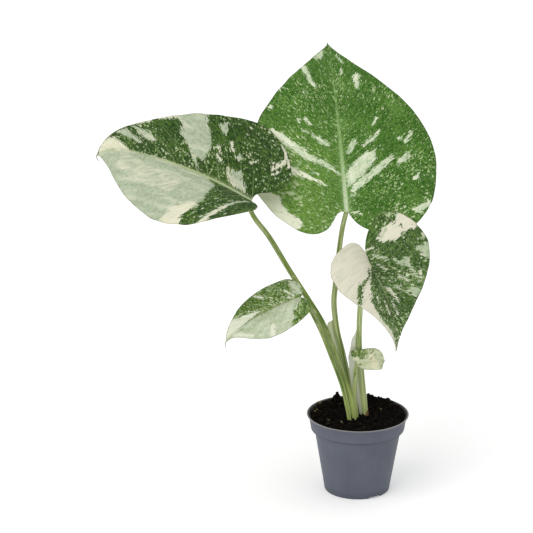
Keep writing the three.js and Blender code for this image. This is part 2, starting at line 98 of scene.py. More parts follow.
class Shade:
    # Wraps one output of a node, so that values and colours are combined as plain expressions.
    def __init__(self, tree, socket=None):
        self.tree = tree
        self.socket = socket

    def node(self, kind, settings=None, inputs=None, output=0):
        made = self.tree.nodes.new(kind)
        for key, value in (settings or {}).items():
            if key == "stops":
                ramp = made.color_ramp.elements
                for place, colour in value[len(ramp):]:
                    ramp.new(place)
                for stop, (place, colour) in zip(ramp, value):
                    stop.position = place
                    stop.color = (*colour, 1)
            else:
                setattr(made, key, value)
        for key, value in (inputs or {}).items():
            target = made.inputs[key]
            if isinstance(value, Shade):
                self.tree.links.new(value.socket, target)
            else:
                target.default_value = value
        return Shade(self.tree, made.outputs[output])

    def other(self, output):
        return Shade(self.tree, self.socket.node.outputs[output])

    def math(self, operation, *values):
        return self.node("ShaderNodeMath", {"operation": operation}, dict(enumerate(values)))

    def __add__(self, other):
        return self.math("ADD", self, other)

    def __sub__(self, other):
        return self.math("SUBTRACT", self, other)

    def __rsub__(self, other):
        return self.math("SUBTRACT", other, self)

    def __mul__(self, other):
        return self.math("MULTIPLY", self, other)

    def __truediv__(self, other):
        return self.math("DIVIDE", self, other)

    __radd__ = __add__
    __rmul__ = __mul__

    def least(self, other):
        return self.math("MINIMUM", self, other)

    def most(self, other):
        return self.math("MAXIMUM", self, other)

    def size(self):
        return self.math("ABSOLUTE", self)

    def root(self):
        return self.math("SQRT", self)

    def fraction(self):
        return self.math("FRACT", self)

    # 0 below low, 1 above high and a smooth step between them; low may be the larger.
    def step(self, low, high):
        if isinstance(low, (int, float)) and isinstance(high, (int, float)) and low > high:
            return 1 - self.step(high, low)
        ends = {"Value": self, "From Min": low, "From Max": high}
        return self.node("ShaderNodeMapRange", {"interpolation_type": "SMOOTHSTEP"}, ends)

    def vector(self, x, y, z=0.0):
        return self.node("ShaderNodeCombineXYZ", {}, {"X": x, "Y": y, "Z": z})

    def parts(self):
        split = self.node("ShaderNodeSeparateXYZ", {}, {"Vector": self}, "X")
        return split, split.other("Y"), split.other("Z")

    def attribute(self, name):
        return self.node("ShaderNodeAttribute", {"attribute_name": name}, {}, "Vector")

    def place(self):
        return self.node("ShaderNodeTexCoord", {}, {}, "Object")

    def noise(self, vector, scale=1.0, detail=2.0):
        wanted = {"Vector": vector, "Scale": scale, "Detail": detail, "Roughness": 0.5}
        return self.node("ShaderNodeTexNoise", {"noise_dimensions": "3D"}, wanted, "Fac")

    def cells(self, vector, feature="F1"):
        settings = {"voronoi_dimensions": "3D", "feature": feature}
        wanted = {"Vector": vector, "Scale": 1.0, "Randomness": 1.0}
        return self.node("ShaderNodeTexVoronoi", settings, wanted)

    def colour(self, first, second, share):
        made = self.tree.nodes.new("ShaderNodeMix")
        made.data_type = "RGBA"
        for identifier, value in (("Factor_Float", share), ("A_Color", first), ("B_Color", second)):
            target = next(s for s in made.inputs if s.identifier == identifier)
            if isinstance(value, Shade):
                self.tree.links.new(value.socket, target)
            elif identifier == "Factor_Float":
                target.default_value = value
            else:
                target.default_value = (*value, 1)
        return Shade(self.tree, next(s for s in made.outputs if s.identifier == "Result_Color"))

    # This colour with another laid over it, by a share from 0 to 1.
    def covered(self, other, share):
        return self.colour(self, other, share)


# sRGB numbers from 0 to 255, as a colour picker gives them, to the linear ones that shaders take.
def paint(red, green, blue):
    def linear(value):
        share = value / 255
        return share / 12.92 if share <= 0.04045 else ((share + 0.055) / 1.055) ** 2.4
    return linear(red), linear(green), linear(blue)


def newMaterial(name, constants):
    material = bpy.data.materials.new(name)
    material.use_nodes = True
    surface = material.node_tree.nodes["Principled BSDF"]
    for socket, value in constants.items():
        surface.inputs[socket].default_value = value
    return material, Shade(material.node_tree), surface


def finishMaterial(shade, surface, colour, roughness=None, height=None, relief=0.001):
    links = shade.tree.links
    links.new(colour.socket, surface.inputs["Base Color"])
    if roughness is not None:
        links.new(roughness.socket, surface.inputs["Roughness"])
    if height is not None:
        bump = shade.node("ShaderNodeBump", {}, {"Height": height, "Distance": relief, "Strength": 1.0})
        links.new(bump.socket, surface.inputs["Normal"])


# Meshes

# 0 below 0, 1 above 1, and 3 s^2 - 2 s^3 between them.
def smoothStep(value):
    share = np.clip(value, 0, 1)
    return share * share * (3 - 2 * share)


# Points are in millimetres, faces are arrays of three or four corners each.
def meshObject(name, points, faces):
    mesh = bpy.data.meshes.new(name)
    corners = [face for group in faces for face in np.asarray(group).tolist()]
    mesh.from_pydata((np.asarray(points) * millimetre).tolist(), [], corners)
    made = bpy.data.objects.new(name, mesh)
    bpy.context.scene.collection.objects.link(made)
    return made


# A finished piece of the plant; attributes hold one row for each point.
def addPiece(name, points, faces, material, attributes=None, replaced=(), smooth=True):
    piece = meshObject(name, points, faces)
    mesh = piece.data
    for key, values in (attributes or {}).items():
        kind = "FLOAT_VECTOR" if values.ndim == 2 else "FLOAT"
        layer = mesh.attributes.new(key, kind, "POINT")
        layer.data.foreach_set("vector" if values.ndim == 2 else "value", values.astype(np.float32).ravel())
    mesh.polygons.foreach_set("use_smooth", [smooth] * len(mesh.polygons))
    mesh.materials.append(material)
    mesh.update()
    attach(piece, "root")
    if replaced:
        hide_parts(*replaced)


# Quads of a grid of rows and columns; wrap joins the last column to the first.
def gridFaces(rows, columns, wrap=False):
    across = columns if wrap else columns - 1
    row, column = np.meshgrid(np.arange(rows - 1), np.arange(across), indexing="ij")
    after = (column + 1) % columns
    here = row * columns
    above = here + columns
    return np.stack([here + column, here + after, above + after, above + column], -1).reshape(-1, 4)


# A tube of rings, as places (ring, place round it, xyz), closed by a fan round a middle point at each end.
def tubeBody(grid, firstMiddle, lastMiddle):
    rings, around = grid.shape[:2]
    k = np.arange(around)
    after = (k + 1) % around
    last = (rings - 1) * around
    start = np.stack([np.full(around, rings * around), after, k], -1)
    end = np.stack([np.full(around, rings * around + 1), last + k, last + after], -1)
    points = np.vstack([grid.reshape(-1, 3), firstMiddle, lastMiddle])
    return points, [gridFaces(rings, around, wrap=True), start, end]


# A smooth random value from -1 to 1 at each point: a hashed lattice with blended corners.
def latticeNoise(points, seed):
    base = np.floor(points)
    share = smoothStep(points - base)
    total = np.zeros(points.shape[:-1])
    for corner in range(2 ** points.shape[-1]):
        bits = np.array([(corner >> axis) & 1 for axis in range(points.shape[-1])])
        mixed = (base + bits) @ np.array([127.1, 311.7, 74.7])[:points.shape[-1]] + seed * 53.3
        value = np.sin(mixed) * 43758.5453
        weight = np.prod(np.where(bits == 1, share, 1 - share), axis=-1)
        total += weight * (value - np.floor(value))
    return 2 * total - 1


# Layers of lattice noise, each twice as fine and half as strong as the one before.
def layeredNoise(points, octaves, seed):
    total = np.zeros(points.shape[:-1])
    for octave in range(octaves):
        total += latticeNoise(points * 2 ** octave, seed + octave) * 0.5 ** octave
    return total


# The nearest distance to a chain of circles (x, y, radius) or to a patch's outline (x, y), in
# millimetres, positive inside.
def markField(x, y, mark):
    if len(mark[0]) == 3:
        field = np.full(x.shape, -99.0)
        for (x0, y0, r0), (x1, y1, r1) in zip(mark, mark[1:]):
            ex, ey = x1 - x0, y1 - y0
            along = np.clip(((x - x0) * ex + (y - y0) * ey) / (ex * ex + ey * ey), 0, 1)
            far = np.hypot(x - x0 - along * ex, y - y0 - along * ey)
            field = np.maximum(field, r0 + (r1 - r0) * along - far)
        return field
    far = np.full(x.shape, 99.0)
    inside = np.zeros(x.shape, bool)
    for (x0, y0), (x1, y1) in zip(mark, mark[1:] + mark[:1]):
        ex, ey = x1 - x0, y1 - y0
        along = np.clip(((x - x0) * ex + (y - y0) * ey) / (ex * ex + ey * ey), 0, 1)
        far = np.minimum(far, np.hypot(x - x0 - along * ex, y - y0 - along * ey))
        if y0 != y1:
            crosses = ((y0 > y) != (y1 > y)) & (x < x0 + (y - y0) * ex / ey)
            inside ^= crosses
    return np.where(inside, far, -far)


# Leaves. A place on a blade is (x, y) flat, in millimetres: y along the midrib from the joint, x to
# the right of it seen with the tip ahead. Angles are in degrees. Each half of a blade has its reach,
# how far its lobe hangs back past the joint, where along the reach that is, where up the midrib it is
# widest, and the handles and slopes of its curve. Marks are painted in order: a chain of circles
# (x, y, r) makes a streak and a ring of points (x, y) makes a patch. A petiole's points are its centre
# line above the soil, and its radii are spread evenly from its foot to the blade. Its wing gives how
# far the sheath's fin stands out at each height z, and toward is the way that the fin points.

leaves = {
    "upright_leaf": {
        "joint": (-14.8, 30, 330.9), "length": 222.9, "tail": 4,
        "heading": 97.5, "pitch": 58.6, "roll": -2.6,
        "bend": 11.7, "tipBend": 17.2, "tipFrom": 0.7, "backBend": -6.7, "tailBend": 0,
        "twist": -0.4, "sweep": -0.003,
        "right": {
            "reach": 116.5, "lobe": 29.7, "lobeAt": 0.494, "widest": 0.288, "notch": 0.031, "shoulder": 0.51,
            "tipWidth": 0.181, "tipLength": 0.193, "fold": 6.5, "lift": 15.5, "tipFold": 3.3, "curl": 25.3,
        },
        "left": {
            "reach": 109.9, "lobe": 28.7, "lobeAt": 0.425, "widest": 0.263, "notch": 0.164, "shoulder": 0.531,
            "tipWidth": 0.232, "tipLength": 0.159, "fold": 6.6, "lift": 15.9, "tipFold": 3.2, "curl": 21.9,
        },
        "rows": 206, "columns": 84, "keel": 1.8, "ribWidth": 2.9, "veins": 15, "pucker": 0.5,
        "petiole": {
            "points": [
                (-6, 5, 92), (-10, 6, 126.9), (-18.6, 9, 167), (-24.8, 12, 191.7), (-28.7, 16, 222.7),
                (-27.2, 19.5, 246.1), (-23.7, 24, 281.3), (-19.6, 28, 311.6),
            ],
            "radii": [3.2, 3.3, 3.3, 3.3, 3.3, 3.3, 3.2, 3, 2.9, 2.8],
            "toward": (-1, 0.15, 0), "paleFrom": 110,
            "wing": [
                (100, 0), (115, 1.5), (140, 3.5), (165, 5.2), (185, 7.2), (198, 8.6), (203.5, 6.4),
                (205, 0),
            ],
        },
        "look": {
            "seed": 1, "dots": 1.12, "fleckSize": 1.0, "freckles": 0.15,
            "soft": 1.0, "lobeLightAndFleckShare": 0.9, "ribEnd": 1.1, "ground": ("green", "green"),
        },
        "paints": {
            "dark": (38, 80, 14), "green": (68, 112, 34), "light": (92, 134, 52),
            "yellowGreen": (122, 162, 70), "fleck": (200, 216, 166), "cream": (240, 242, 216),
            "pale": (206, 220, 186), "grey": (160, 182, 142), "rib": (150, 182, 116),
        },
        "marks": [
            ("light", [(-10, 208), (-8, 208), (-10, 197), (-18, 194), (-21, 198)]),
            ("light", [(-34, 182, 3.6), (-28, 163, 2.2), (-23, 156, 1.2)]),
            ("light", [(28, 170, 4.7), (27, 160, 3.2), (26, 155, 0.7)]),
            ("light", [(-66, 155, 1.7), (-64, 157, 1.1)]),
            ("light", [(-80, 133, 2), (-79, 130, 1.6)]),
            ("light", [(-38, 152, 1.3), (-38, 149, 0.9)]),
            ("light", [(-39, 116, 2.2), (-33, 108, 1.2)]),
            ("light", [(-48, 115, 1.5), (-46, 112, 1)]),
            ("light", [(-27, 91, 2.9), (-19, 85, 3.2), (-14, 82, 0.6)]),
            ("light", [(-33, 95, 1.1), (-27, 91, 1.9)]),
            ("light", [(-43, 101, 1), (-30, 95, 0.7)]),
            ("light", [(-70, 94, 5), (-62, 86, 5), (-40, 67, 3.6), (-23, 60, 3), (-4, 46, 0.9)]),
            ("cream", [(-80, 102, 3.4), (-58, 84, 2.6)]),
            ("cream", [(-64, 54, 3.9), (-44, 44, 3), (-23, 33, 1)]),
            ("light", [(-38, 50, 1.1), (-30, 46, 0.9)]),
            ("cream", [
                (-104, 35), (-93, 27), (-78, 21), (-76, 8.3), (-70, -2), (-58, -10), (-56, -16),
                (-62, -23), (-73, -25), (-92, -12), (-112, 21),
            ]),
            ("light", [
                (3, 29), (3.5, 47), (8.7, 56), (19, 65), (31, 73), (41, 76), (40, 64), (33, 54),
                (23, 45), (11, 34),
            ]),
            ("light", [
                (6.3, 25), (12, 34), (23, 43), (38, 54), (51, 64), (62, 71), (61, 64), (52, 55),
                (35, 42), (11, 23),
            ]),
            ("light", [(27, 81, 1.5), (37, 88, 2.5), (48, 99, 1)]),
            ("light", [(41, 107, 1.6), (46, 116, 1)]),
            ("light", [(66, 57, 1), (71, 63, 3), (80, 69, 3.5)]),
            ("light", [(80, 87, 2.5), (87, 98, 1.9)]),
            ("light", [(72, 90, 2), (74, 92, 1.6)]),
            ("pale", [(85, 40, 2.1), (91, 45, 1.8)]),
            ("light", [(75, -1), (86, 4.4), (102, 13), (99, 3.7), (90, -2.6), (84, -5)]),
            ("light", [(7, -0.6, 1.3), (16, -2, 0.9)]),
            ("pale", [(8, 20, 1.8), (11, 23, 1.6)]),
            ("pale", [(9, 73, 2.6), (16, 86, 3.1)]),
            ("pale", [(-52, 81, 1.6), (-41, 74, 1.9)]),
            ("light", [(8, 200, 1.1), (13, 190, 1.1)]),
            ("light", [(11, 181, 1), (11, 175, 1)]),
        ],
    },
    "large_left_leaf": {
        "joint": (-124.5, -20, 358.2), "length": 209.4, "tail": 9,
        "heading": 166.1, "pitch": 29, "roll": 13.1,
        "bend": 30.3, "tipBend": 60.7, "tipFrom": 0.7, "backBend": -10.5, "tailBend": 74.5,
        "twist": -23.5, "sweep": 0.025,
        "right": {
            "reach": 101.6, "lobe": 23.5, "lobeAt": 0.504, "widest": 0.169, "notch": 0.206, "shoulder": 0.1,
            "tipWidth": 0.243, "tipLength": 0.124, "fold": 26.5, "lift": 0.3, "tipFold": 6.8, "curl": 18,
        },
        "left": {
            "reach": 103.2, "lobe": 13, "lobeAt": 0.497, "widest": 0.239, "notch": 0.084, "shoulder": 0.387,
            "tipWidth": 0.323, "tipLength": 0.148, "fold": 29.3, "lift": 10.6, "tipFold": -34.4, "curl": 39.5,
        },
        "rows": 206, "columns": 84, "keel": 1.8, "ribWidth": 2.2, "veins": 15, "pucker": 0.5,
        "petiole": {
            "points": [
                (-4.2, -8.4, 92), (-12, -9, 126.3), (-26.5, -8.5, 167.1), (-41, -8, 205.6),
                (-58.7, -8, 236.5), (-81.3, -9.5, 273.5), (-104, -13.5, 313.6), (-119.2, -17.5, 335.1),
                (-125.3, -19.8, 347.4),
            ],
            "radii": [3, 3.1, 3.2, 3.2, 3.2, 3.2, 3.1, 3, 2.9, 2.7, 2.5],
            "toward": (0, -1, 0), "paleFrom": 0,
            "wing": None,
        },
        "look": {
            "seed": 2, "dots": 0.95, "fleckSize": 1.3, "freckles": 0.0,
            "soft": 2.6, "lobeLightAndFleckShare": 0.0, "ribEnd": 1.3, "ground": ("green", "green"),
        },
        "paints": {
            "dark": (18, 48, 6), "green": (48, 80, 22), "light": (80, 112, 38),
            "yellowGreen": (112, 146, 58), "fleck": (210, 221, 182), "cream": (228, 225, 199),
            "pale": (182, 193, 166), "grey": (154, 168, 139), "rib": (184, 198, 142),
        },
        "marks": [
            ("cream", [
                (-4, 198), (3.6, 197), (9, 191), (15, 182), (14, 176), (7.6, 166), (1, 157), (-4, 151),
                (-5, 170),
            ]),
            ("pale", [(20, 174), (22, 172), (25, 165), (19, 156), (13, 144), (11, 146), (15, 161)]),
            ("pale", [(29, 158), (28, 148), (26, 138), (20, 129), (17, 132), (19, 144), (22, 152)]),
            ("cream", [(34, 155, 1.3), (41, 143, 1.1)]),
            ("cream", [(47, 134, 1.4), (56, 119, 2.4)]),
            ("pale", [
                (58, 125), (66, 110), (77, 92), (61, 84), (49, 76), (34, 69), (25, 71), (16, 70),
                (18, 78), (16, 84), (27, 94), (33, 103), (41, 108), (51, 111),
            ]),
            ("pale", [(16, 83, 1.8), (5.7, 72, 0.9)]),
            ("pale", [(68, 75), (77, 67), (57, 62)]),
            ("cream", [(54, 54, 0.8), (45, 48, 1.9)]),
            ("cream", [(42, 64, 1), (33, 58, 0.8)]),
            ("cream", [(31, 60, 1.6), (27, 54, 1.6)]),
            ("pale", [(39, 42), (46, 41), (42, 34), (35, 36)]),
            ("pale", [(24, 40), (23, 33), (28, 29), (18, 21), (5, 9), (4.4, 23), (8, 32)]),
            ("cream", [(22, 43, 1.4), (9.6, 34, 2.1), (5.7, 26, 1.2)]),
            ("cream", [(95, 9.5, 1.2), (87, 1, 2.1), (71, -13, 2.2)]),
            ("cream", [(81, -7, 2.3), (64, -2.6, 3), (52, 0.6, 1.7)]),
            ("cream", [(62, 5, 1.6), (63, 1.4, 1.5)]),
            ("cream", [(45, -2, 0.9), (55, -6.6, 1.1)]),
            ("cream", [(43, 24, 0.9), (52, 19, 0.7)]),
            ("pale", [
                (0, 205), (0, 150), (0, 90), (-1, 56), (-8.3, 51), (-15, 42), (-42, 44), (-61, 42),
                (-70, 59), (-76, 68), (-112, 66), (-112, 90), (-70, 150), (-30, 205),
            ]),
            ("light", [
                (-10, 160), (-20, 133), (-24, 106), (-28, 80), (-50, 82), (-46, 113), (-36, 139),
                (-24, 160),
            ]),
            ("cream", [
                (-78, 70), (-69, 59), (-61, 47), (-77, 44), (-87, 46), (-112, 46), (-112, 76),
                (-92, 72),
            ]),
            ("green", [
                (-4.5, 51), (-1, 42), (-1, 6), (-15, 5), (-48, 16), (-67, 24), (-85, 29), (-112, 33),
                (-112, 48), (-94, 51), (-85, 52), (-66, 41), (-47, 42), (-16, 43),
            ]),
            ("pale", [(-30, 1, 2.4), (-63, 16, 2.2)]),
            ("cream", [(-63, 16, 2.4), (-85, 24, 3.6), (-104, 30, 3.1)]),
        ],
    },
    "right_leaf": {
        "joint": (7.8, -46, 287.2), "length": 121.9, "tail": 4,
        "heading": -62.2, "pitch": -19.3, "roll": 27.7,
        "bend": 32.2, "tipBend": 19.8, "tipFrom": 0.7, "backBend": 22.9, "tailBend": 0,
        "twist": -1.8, "sweep": 0.037,
        "right": {
            "reach": 78.1, "lobe": 3, "lobeAt": 0.395, "widest": 0.2, "notch": 0.121, "shoulder": 0.488,
            "tipWidth": 0.268, "tipLength": 0.34, "fold": 43.9, "lift": 17, "tipFold": -50.9, "curl": 78,
        },
        "left": {
            "reach": 75.8, "lobe": 48.6, "lobeAt": 0.686, "widest": 0.05, "notch": 0.07, "shoulder": 0.209,
            "tipWidth": 0.01, "tipLength": 0.313, "fold": 41.3, "lift": 17.2, "tipFold": 1.8, "curl": -34.4,
        },
        "rows": 156, "columns": 66, "keel": 1.2, "ribWidth": 1.4, "veins": 11, "pucker": 0.4,
        "petiole": {
            "points": [
                (9.2, 3.4, 92), (5.4, 3, 129.3), (1, 1.5, 174.6), (0.3, -5, 205.2), (0.9, -14, 236.3),
                (2.4, -25, 260.3), (5.4, -39, 279.1),
            ],
            "radii": [3.2, 3.3, 3.3, 3.3, 3.3, 3.2, 3, 2.8, 2.5],
            "toward": (-1, 0, 0), "paleFrom": 0,
            "wing": [
                (84, 0), (86, 4.2), (96, 4.6), (104, 5.4), (116, 8.2), (130, 11), (147, 12.2),
                (163, 11.2), (176, 7.8), (188, 5), (198, 0),
            ],
        },
        "look": {
            "seed": 3, "dots": 1.7, "fleckSize": 1.0, "freckles": 0.1,
            "soft": 1.4, "lobeLightAndFleckShare": 0.0, "ribEnd": 1.0, "ground": ("green", "green"),
        },
        "paints": {
            "dark": (28, 57, 10), "green": (62, 93, 34), "light": (100, 129, 64),
            "yellowGreen": (128, 154, 88), "fleck": (206, 217, 180), "cream": (226, 221, 201),
            "pale": (180, 193, 162), "grey": (142, 163, 125), "rib": (150, 170, 114),
        },
        "marks": [
            ("cream", [
                (0, -3), (6, -12), (40, -12), (56, -4), (67, 4), (76, 13), (82, 28), (80, 40), (68, 58),
                (51, 73), (38, 83), (22, 95), (6, 112), (0, 123), (0.9, 117), (4.4, 106), (9.2, 98),
                (18, 91), (26, 80), (32, 70), (31, 58), (30, 46), (25, 33), (20, 20), (4.5, 5), (0, 2),
            ]),
            ("green", [
                (27, 24), (31, 36), (40, 44), (48, 52), (49, 61), (49, 71), (45, 74), (43, 67),
                (43, 59), (39, 48), (29, 38), (23, 25),
            ]),
            ("cream", [
                (-28, -26), (-36, -29), (-42, -31), (-52, -27), (-61, -24), (-68, -26), (-78, -23),
                (-80, -13), (-80, -1), (-66, -5.3), (-58, -8.5), (-46, -7.5), (-38, -14), (-30, -20),
            ]),
            ("green", [(-60, -16, 0.8), (-61, -14, 0.9)]),
            ("pale", [(-36, -24, 1.9), (-45, -26, 1.8)]),
            ("pale", [(-58, 11), (-66, 12), (-76, 13), (-74, 20), (-65, 27), (-60, 23), (-59, 16)]),
            ("cream", [(-72, 6.6, 0.9), (-71, 9, 1)]),
            ("pale", [(-14, -12, 1.7), (-23, 2, 2.3)]),
            ("cream", [(-11, 3, 1.1), (-16, 13, 1.1)]),
            ("cream", [(-12, -24, 1.1), (-20, -20, 1)]),
            ("pale", [
                (-29, 2.5), (-34, 12), (-40, 11), (-45, 16), (-42, 23), (-41, 29), (-38, 22), (-30, 15),
            ]),
            ("pale", [(-40, 28, 1.4), (-43, 45, 1.5)]),
            ("cream", [(-48, 34, 1.1), (-45, 43, 1.3)]),
            ("pale", [(-30, 46), (-36, 51), (-40, 54), (-31, 64), (-28, 60)]),
            ("cream", [(-5.7, 38, 2.1), (-9, 48, 1.9), (-11, 60, 0.9)]),
            ("pale", [(-14, 39, 1.3), (-25, 52, 1.3)]),
            ("cream", [(-24, 28, 1.2), (-30, 39, 1.4)]),
            ("cream", [(-4.3, 59, 0.8), (-6, 77, 0.7)]),
            ("cream", [(11, 63, 1.6), (7, 78, 1.5)]),
            ("cream", [(24, 59, 1), (22, 67, 1)]),
        ],
    },
    "small_left_leaf": {
        "joint": (-67.1, -43, 251.4), "length": 111.4, "tail": 9,
        "heading": 186.9, "pitch": -13.5, "roll": 17.6,
        "bend": 35.5, "tipBend": 24.9, "tipFrom": 0.7, "backBend": 0.2, "tailBend": 45.8,
        "twist": -1.3, "sweep": -0.046,
        "right": {
            "reach": 39.2, "lobe": 3.7, "lobeAt": 0.374, "widest": 0.151, "notch": 0.076, "shoulder": 0.581,
            "tipWidth": 0.321, "tipLength": 0.075, "fold": 13.6, "lift": 3.7, "tipFold": 4.9, "curl": 19.9,
        },
        "left": {
            "reach": 40.2, "lobe": 6.8, "lobeAt": 0.438, "widest": 0.363, "notch": 0.025, "shoulder": 0.578,
            "tipWidth": 0.158, "tipLength": 0.22, "fold": 4.8, "lift": -7, "tipFold": 2.8, "curl": 34,
        },
        "rows": 140, "columns": 50, "keel": 0.9, "ribWidth": 1.1, "veins": 11, "pucker": 0.3,
        "petiole": {
            "points": [
                (-10.4, -10.6, 92), (-18.4, -14.5, 130.8), (-32.1, -19.5, 171), (-45.2, -26, 206.3),
                (-55.1, -32, 227.7), (-62, -38, 241.1),
            ],
            "radii": [2.5, 2.5, 2.6, 2.75, 2.6, 2.2, 1.9, 1.6],
            "toward": (0, -1, 0), "paleFrom": 0,
            "wing": None,
        },
        "look": {
            "seed": 4, "dots": 2.4, "fleckSize": 1.0, "freckles": 0.1,
            "soft": 1.6, "lobeLightAndFleckShare": 0.0, "ribEnd": 2.2, "ground": ("green", "pale"),
        },
        "paints": {
            "dark": (52, 85, 20), "green": (90, 121, 48), "light": (124, 153, 78),
            "yellowGreen": (146, 170, 100), "fleck": (214, 223, 186), "cream": (228, 231, 210),
            # This leaf's darker olive rib colour is painted shade along the midrib's channel; its main veins
            # take it too.
            "pale": (196, 206, 178), "grey": (170, 184, 150), "rib": (112, 128, 70),
        },
        "marks": [
            ("pale", [(35, 47, 1), (39, 28, 1.1)]),
            ("cream", [(30, 50, 1.6), (20, 42, 1.6)]),
            ("cream", [
                (10, 94), (14, 90), (18, 86), (13, 76), (9.5, 65), (8, 56), (3.7, 50), (1.7, 59),
                (0, 72), (-2, 83), (0, 104),
            ]),
            ("pale", [(34, 9), (28, 2), (16, -2.3), (4.6, -1), (6, 6), (17, 10)]),
            ("cream", [(18, 17, 1.3), (5, 8.7, 0.9)]),
            ("cream", [(6, 15, 1), (3, 11, 0.8)]),
            ("green", [
                (0.3, 0.6), (-5, -3.6), (-12, -9), (-21, -9), (-30, 0), (-38, 10), (-44, 20), (-31, 20),
                (-28, 14), (-19, 15), (-15, 11), (-10, 5),
            ]),
            ("cream", [(-27, 42, 2), (-37, 46, 2.6)]),
            ("green", [(-3.7, 48, 1.3), (1, 34, 1.3)]),
            ("green", [(-4.5, 80, 1.2), (-6.6, 76, 1)]),
            ("cream", [(-5.5, 88, 2.8), (-24, 69, 1.6)]),
        ],
    },
    "curled_leaf": {
        "joint": (-2.8, -12, 160.3), "length": 35.3, "tail": 2,
        "heading": -3.9, "pitch": 7.7, "roll": -64.5,
        "bend": -12.4, "tipBend": 85.3, "tipFrom": 0.51, "backBend": -5.7, "tailBend": 0,
        "twist": 8, "sweep": 0,
        "right": {
            "reach": 10.4, "lobe": -1, "lobeAt": 0.3, "widest": 0.85, "notch": 0.1, "shoulder": 0.49,
            "tipWidth": 0.32, "tipLength": 0.07, "fold": 8, "lift": 0, "tipFold": 3.2, "curl": 35.3,
        },
        "left": {
            "reach": 16.7, "lobe": 5.1, "lobeAt": 0.85, "widest": 0.3, "notch": 0.1, "shoulder": 0.46,
            "tipWidth": 0.97, "tipLength": 0.06, "fold": -0.8, "lift": 6.9, "tipFold": 0.3, "curl": 8.1,
        },
        "rows": 90, "columns": 32, "keel": 0.5, "ribWidth": 0.7, "veins": 7, "pucker": 0.12,
        "petiole": {
            "points": [(-2, -1.4, 92), (-4.9, -3.2, 116.6), (-3.8, -8.5, 138.5), (-3.8, -11.8, 150.9)],
            "radii": [2.9, 3, 3, 2.8, 2.4, 1.8],
            "toward": (0, -1, 0), "paleFrom": 0,
            "wing": None,
        },
        "look": {
            "seed": 5, "dots": 1.5, "fleckSize": 1.0, "freckles": 1.0,
            "soft": 1.6, "lobeLightAndFleckShare": 0.0, "ribEnd": 1.3, "ground": ("pale", "pale"),
        },
        "paints": {
            "dark": (70, 96, 34), "green": (102, 128, 58), "light": (140, 160, 90),
            "yellowGreen": (150, 166, 96), "fleck": (212, 219, 178), "cream": (228, 223, 194),
            "pale": (204, 211, 178), "grey": (162, 176, 128), "rib": (186, 196, 148),
        },
        "marks": [
            ("green", [
                (-14, -14), (-30, -6), (-30, 16), (-16, 15), (-9.5, 12), (-8.5, 6), (-8.3, 1),
                (-6.5, -6), (-9, -14),
            ]),
            ("cream", [(-6, -1, 1.4), (-5.4, 1.2, 1.8), (-3.7, 3, 1.2)]),
            ("green", [(-6.6, 5.4, 1.8), (-5.6, 6.6, 1.8), (-6.5, 10, 1.2)]),
            ("green", [(-1, -1.5, 0.9), (2, 4, 0.8)]),
            ("cream", [
                (-13, 17), (-9, 20), (-2, 23), (3, 26), (9, 26), (10, 19), (5, 16), (0, 17), (-7, 15.5),
            ]),
        ],
    },
}

# How every blade is made: shares of the margin, and lengths in millimetres.
blade = {
    "widestEnd": 0.42, "tailStart": 0.94, "tailRows": 10, "columnPower": 1.25,
    "tailHalfWidth": 0.9, "tipHalfWidth": 0.15,
    "veinSpread": 1.3, "sinusFade": 0.8,
    # Handles of the outline's curves: how far up and out at the notch, and how far out under the lobe.
    "notchRise": 0.035, "notchHold": 0.9, "lobeHold": 0.405,
    "thickness": 0.74, "rimThickness": 0.4, "rimWidth": 5.0, "creaseWidth": 2.5,
    # How far the margin wanders, over which run, and how near the tip it stops.
    "wander": 1.3, "wanderRun": 17, "wanderEnd": 25,
    # The midrib: how much it narrows to the tip, and the channel above it.
    "ribTaper": 0.78, "channel": 0.3, "channelWidth": 0.8, "keelWidth": 0.9,
    # Relief as shares of the leaf's pucker, and the runs of its waves.
    "quiltPower": 0.7, "calmWidth": 14, "wave": 0.9, "waveRun": 26, "ripple": 0.12, "rippleRun": 6,
    # Mark fields: as far as they count, and how far a light mark stays from the cream.
    "farField": 20.0, "lightMark": -1.0,
    # Flecks from pinpricks to splashes: size, run along the vein if any, least luck and how much of it
    # the leaf's dots take off, growth, strength and seed.
    "flecks": [
        (1.5, None, 0.6, 0.16, 0.9, 0.6, 21), (3.0, None, 0.76, 0.12, 0.85, 0.85, 25),
        (1.7, 6.0, 0.68, 0.14, 0.95, 0.75, 31), (3.2, 9.0, 0.9, 0.08, 1.4, 0.9, 35),
    ],
}


# A cubic curve through two ends with two handles, at shares u.
def bezier(ends, u):
    a, b, c, d = (np.array(end, float) for end in ends)
    u = u[:, None]
    return (1 - u) ** 3 * a + 3 * (1 - u) ** 2 * u * b + 3 * (1 - u) * u ** 2 * c + u ** 3 * d


